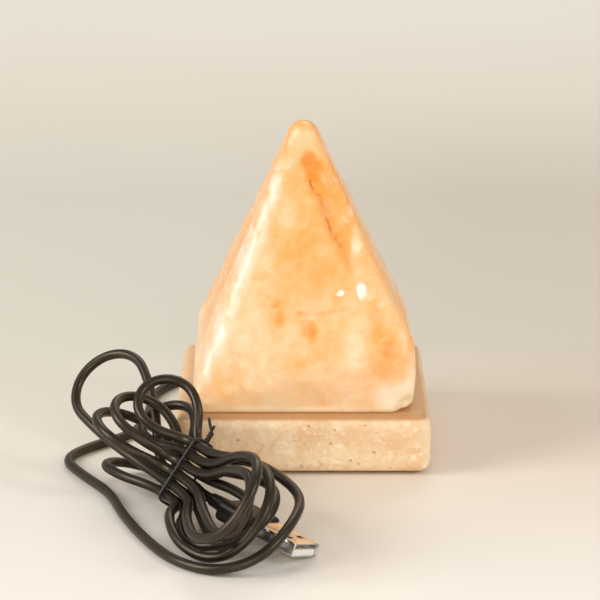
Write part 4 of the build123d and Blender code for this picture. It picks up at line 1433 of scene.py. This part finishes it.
def floor_finish(settings):
    """A pale table top with painted light and shade: lighter in front, darker behind the lamp and
    most on its right, fading into the background.
    """
    finish = Finish("table_top", Specular_IOR_Level=0.3)
    grain = finish.noise(9.0, detail=3.0)
    depth = finish.y + (grain - 0.5) * 0.03
    reach = (depth + FLOOR_FRONT) / (FLOOR_FRONT + FLOOR_BACK)

    def ramp(near, behind):
        """Colours from the front edge of the view to the far background."""
        places = (
            (0.0, settings.bright),
            (0.13, near),
            (0.20, near),
            (0.25, behind),
            (0.48, behind),
            (0.69, settings.far),
            (0.94, settings.wall),
        )
        return finish.add("ShaderNodeValToRGB", {"stops": places}, {"Fac": reach}, "Color")

    left = ramp(settings.left, settings.dim)
    right = ramp(settings.right, settings.dusk)
    finish.put("Base Color", finish.mix(finish.x.step(-0.07, 0.10), left, right))
    finish.put("Roughness", grain * 0.1 + 0.42)
    return finish.material


class LAMP_OT_stage(bpy.types.Operator):
    """Lay the floor, hang the background and set the lamps and the camera"""

    bl_idname = "lamp.stage"
    bl_label = "Stage"

    def execute(self, context):
        settings = context.scene.lamp_stage
        self.floor(settings)
        self.background(context, settings)
        self.lamps()
        self.camera(context, settings)
        context.scene.view_settings.view_transform = "Standard"
        return {"FINISHED"}

    def floor(self, settings):
        """A flat table top under the whole view."""
        clear_selection()
        bpy.ops.mesh.primitive_plane_add(size=FLOOR_SIDE, location=(0, 0, 0))
        floor = named("table_top")
        edit(floor)
        bpy.ops.mesh.select_all(action="SELECT")
        bpy.ops.mesh.subdivide(number_cuts=FLOOR_CUTS)
        bpy.ops.object.mode_set(mode="OBJECT")
        floor.data.materials.append(floor_finish(settings))

    def background(self, context, settings):
        """The wall's colour where the camera sees it, and pale fill light elsewhere."""
        world = bpy.data.worlds.new("soft_room")
        context.scene.world = world
        world.use_nodes = True
        nodes, links = world.node_tree.nodes, world.node_tree.links
        rays = nodes.new("ShaderNodeLightPath")
        fill = nodes["Background"]
        fill.inputs["Color"].default_value = FILL_TINT
        fill.inputs["Strength"].default_value = FILL_STRENGTH
        seen = nodes.new("ShaderNodeBackground")
        seen.inputs["Color"].default_value = (*settings.wall, 1.0)
        mixer = nodes.new("ShaderNodeMixShader")
        links.new(rays.outputs["Is Camera Ray"], mixer.inputs["Fac"])
        links.new(fill.outputs["Background"], mixer.inputs[1])
        links.new(seen.outputs["Background"], mixer.inputs[2])
        links.new(mixer.outputs["Shader"], nodes["World Output"].inputs["Surface"])

    def lamps(self):
        """The soft lamps, turned to the object."""
        for name, place, size, power, tint in LAMPS:
            lamp = bpy.data.lights.new(name, "AREA")
            lamp.size = size
            lamp.energy = power
            lamp.color = tint
            holder = bpy.data.objects.new(name, lamp)
            bpy.context.scene.collection.objects.link(holder)
            holder.location = place
            aim = LAMPS_AIM - Vector(place)
            holder.rotation_euler = aim.to_track_quat("-Z", "Y").to_euler()

    def camera(self, context, settings):
        """The camera, aimed at the lamp from the front and a little above."""
        camera = bpy.data.objects.new("camera", bpy.data.cameras.new("camera"))
        context.scene.collection.objects.link(camera)
        aim = Vector((settings.aim_left, 0, settings.aim_high))
        back = Vector((0, -math.cos(settings.elevation), math.sin(settings.elevation)))
        camera.location = aim + back * settings.distance
        camera.rotation_euler = (-back).to_track_quat("-Z", "Y").to_euler()
        camera.data.lens = settings.lens
        camera.data.sensor_width = SENSOR
        camera.data.clip_start = NEAREST
        camera.data.clip_end = FARTHEST
        context.scene.camera = camera


OPERATORS = (
    LAMP_OT_stage,
    LAMP_OT_cord,
    LAMP_OT_crystal,
    LAMP_OT_stone,
    LAMP_OT_light_unit,
    LAMP_OT_tie,
    LAMP_OT_plug,
    LAMP_OT_declare_cord,
)


class LAMP_PT_sidebar(bpy.types.Panel):
    """Lists the lamp's sizes, colours and pieces"""

    bl_idname = "LAMP_PT_sidebar"
    bl_label = "Salt lamp"
    bl_space_type = "VIEW_3D"
    bl_region_type = "UI"
    bl_category = "Salt lamp"

    def draw(self, context):
        for name, group in SETTINGS:
            box = self.layout.box()
            settings = getattr(context.scene, name)
            for prop in group.__annotations__:
                box.prop(settings, prop)
        for operator in OPERATORS:
            self.layout.operator(operator.bl_idname)


def register():
    for name, group in SETTINGS:
        bpy.utils.register_class(group)
        setattr(bpy.types.Scene, name, PointerProperty(type=group))
    for operator in OPERATORS:
        bpy.utils.register_class(operator)
    bpy.utils.register_class(LAMP_PT_sidebar)


def unregister():
    bpy.utils.unregister_class(LAMP_PT_sidebar)
    for operator in reversed(OPERATORS):
        bpy.utils.unregister_class(operator)
    for name, group in reversed(SETTINGS):
        delattr(bpy.types.Scene, name)
        bpy.utils.unregister_class(group)


def main():
    register()
    bpy.ops.lamp.stage()
    bpy.ops.lamp.cord()
    bpy.ops.lamp.crystal()
    bpy.ops.lamp.stone()
    bpy.ops.lamp.light_unit()
    bpy.ops.lamp.tie()
    bpy.ops.lamp.plug()
    bpy.ops.lamp.declare_cord()


if __name__ == "__main__":
    main()
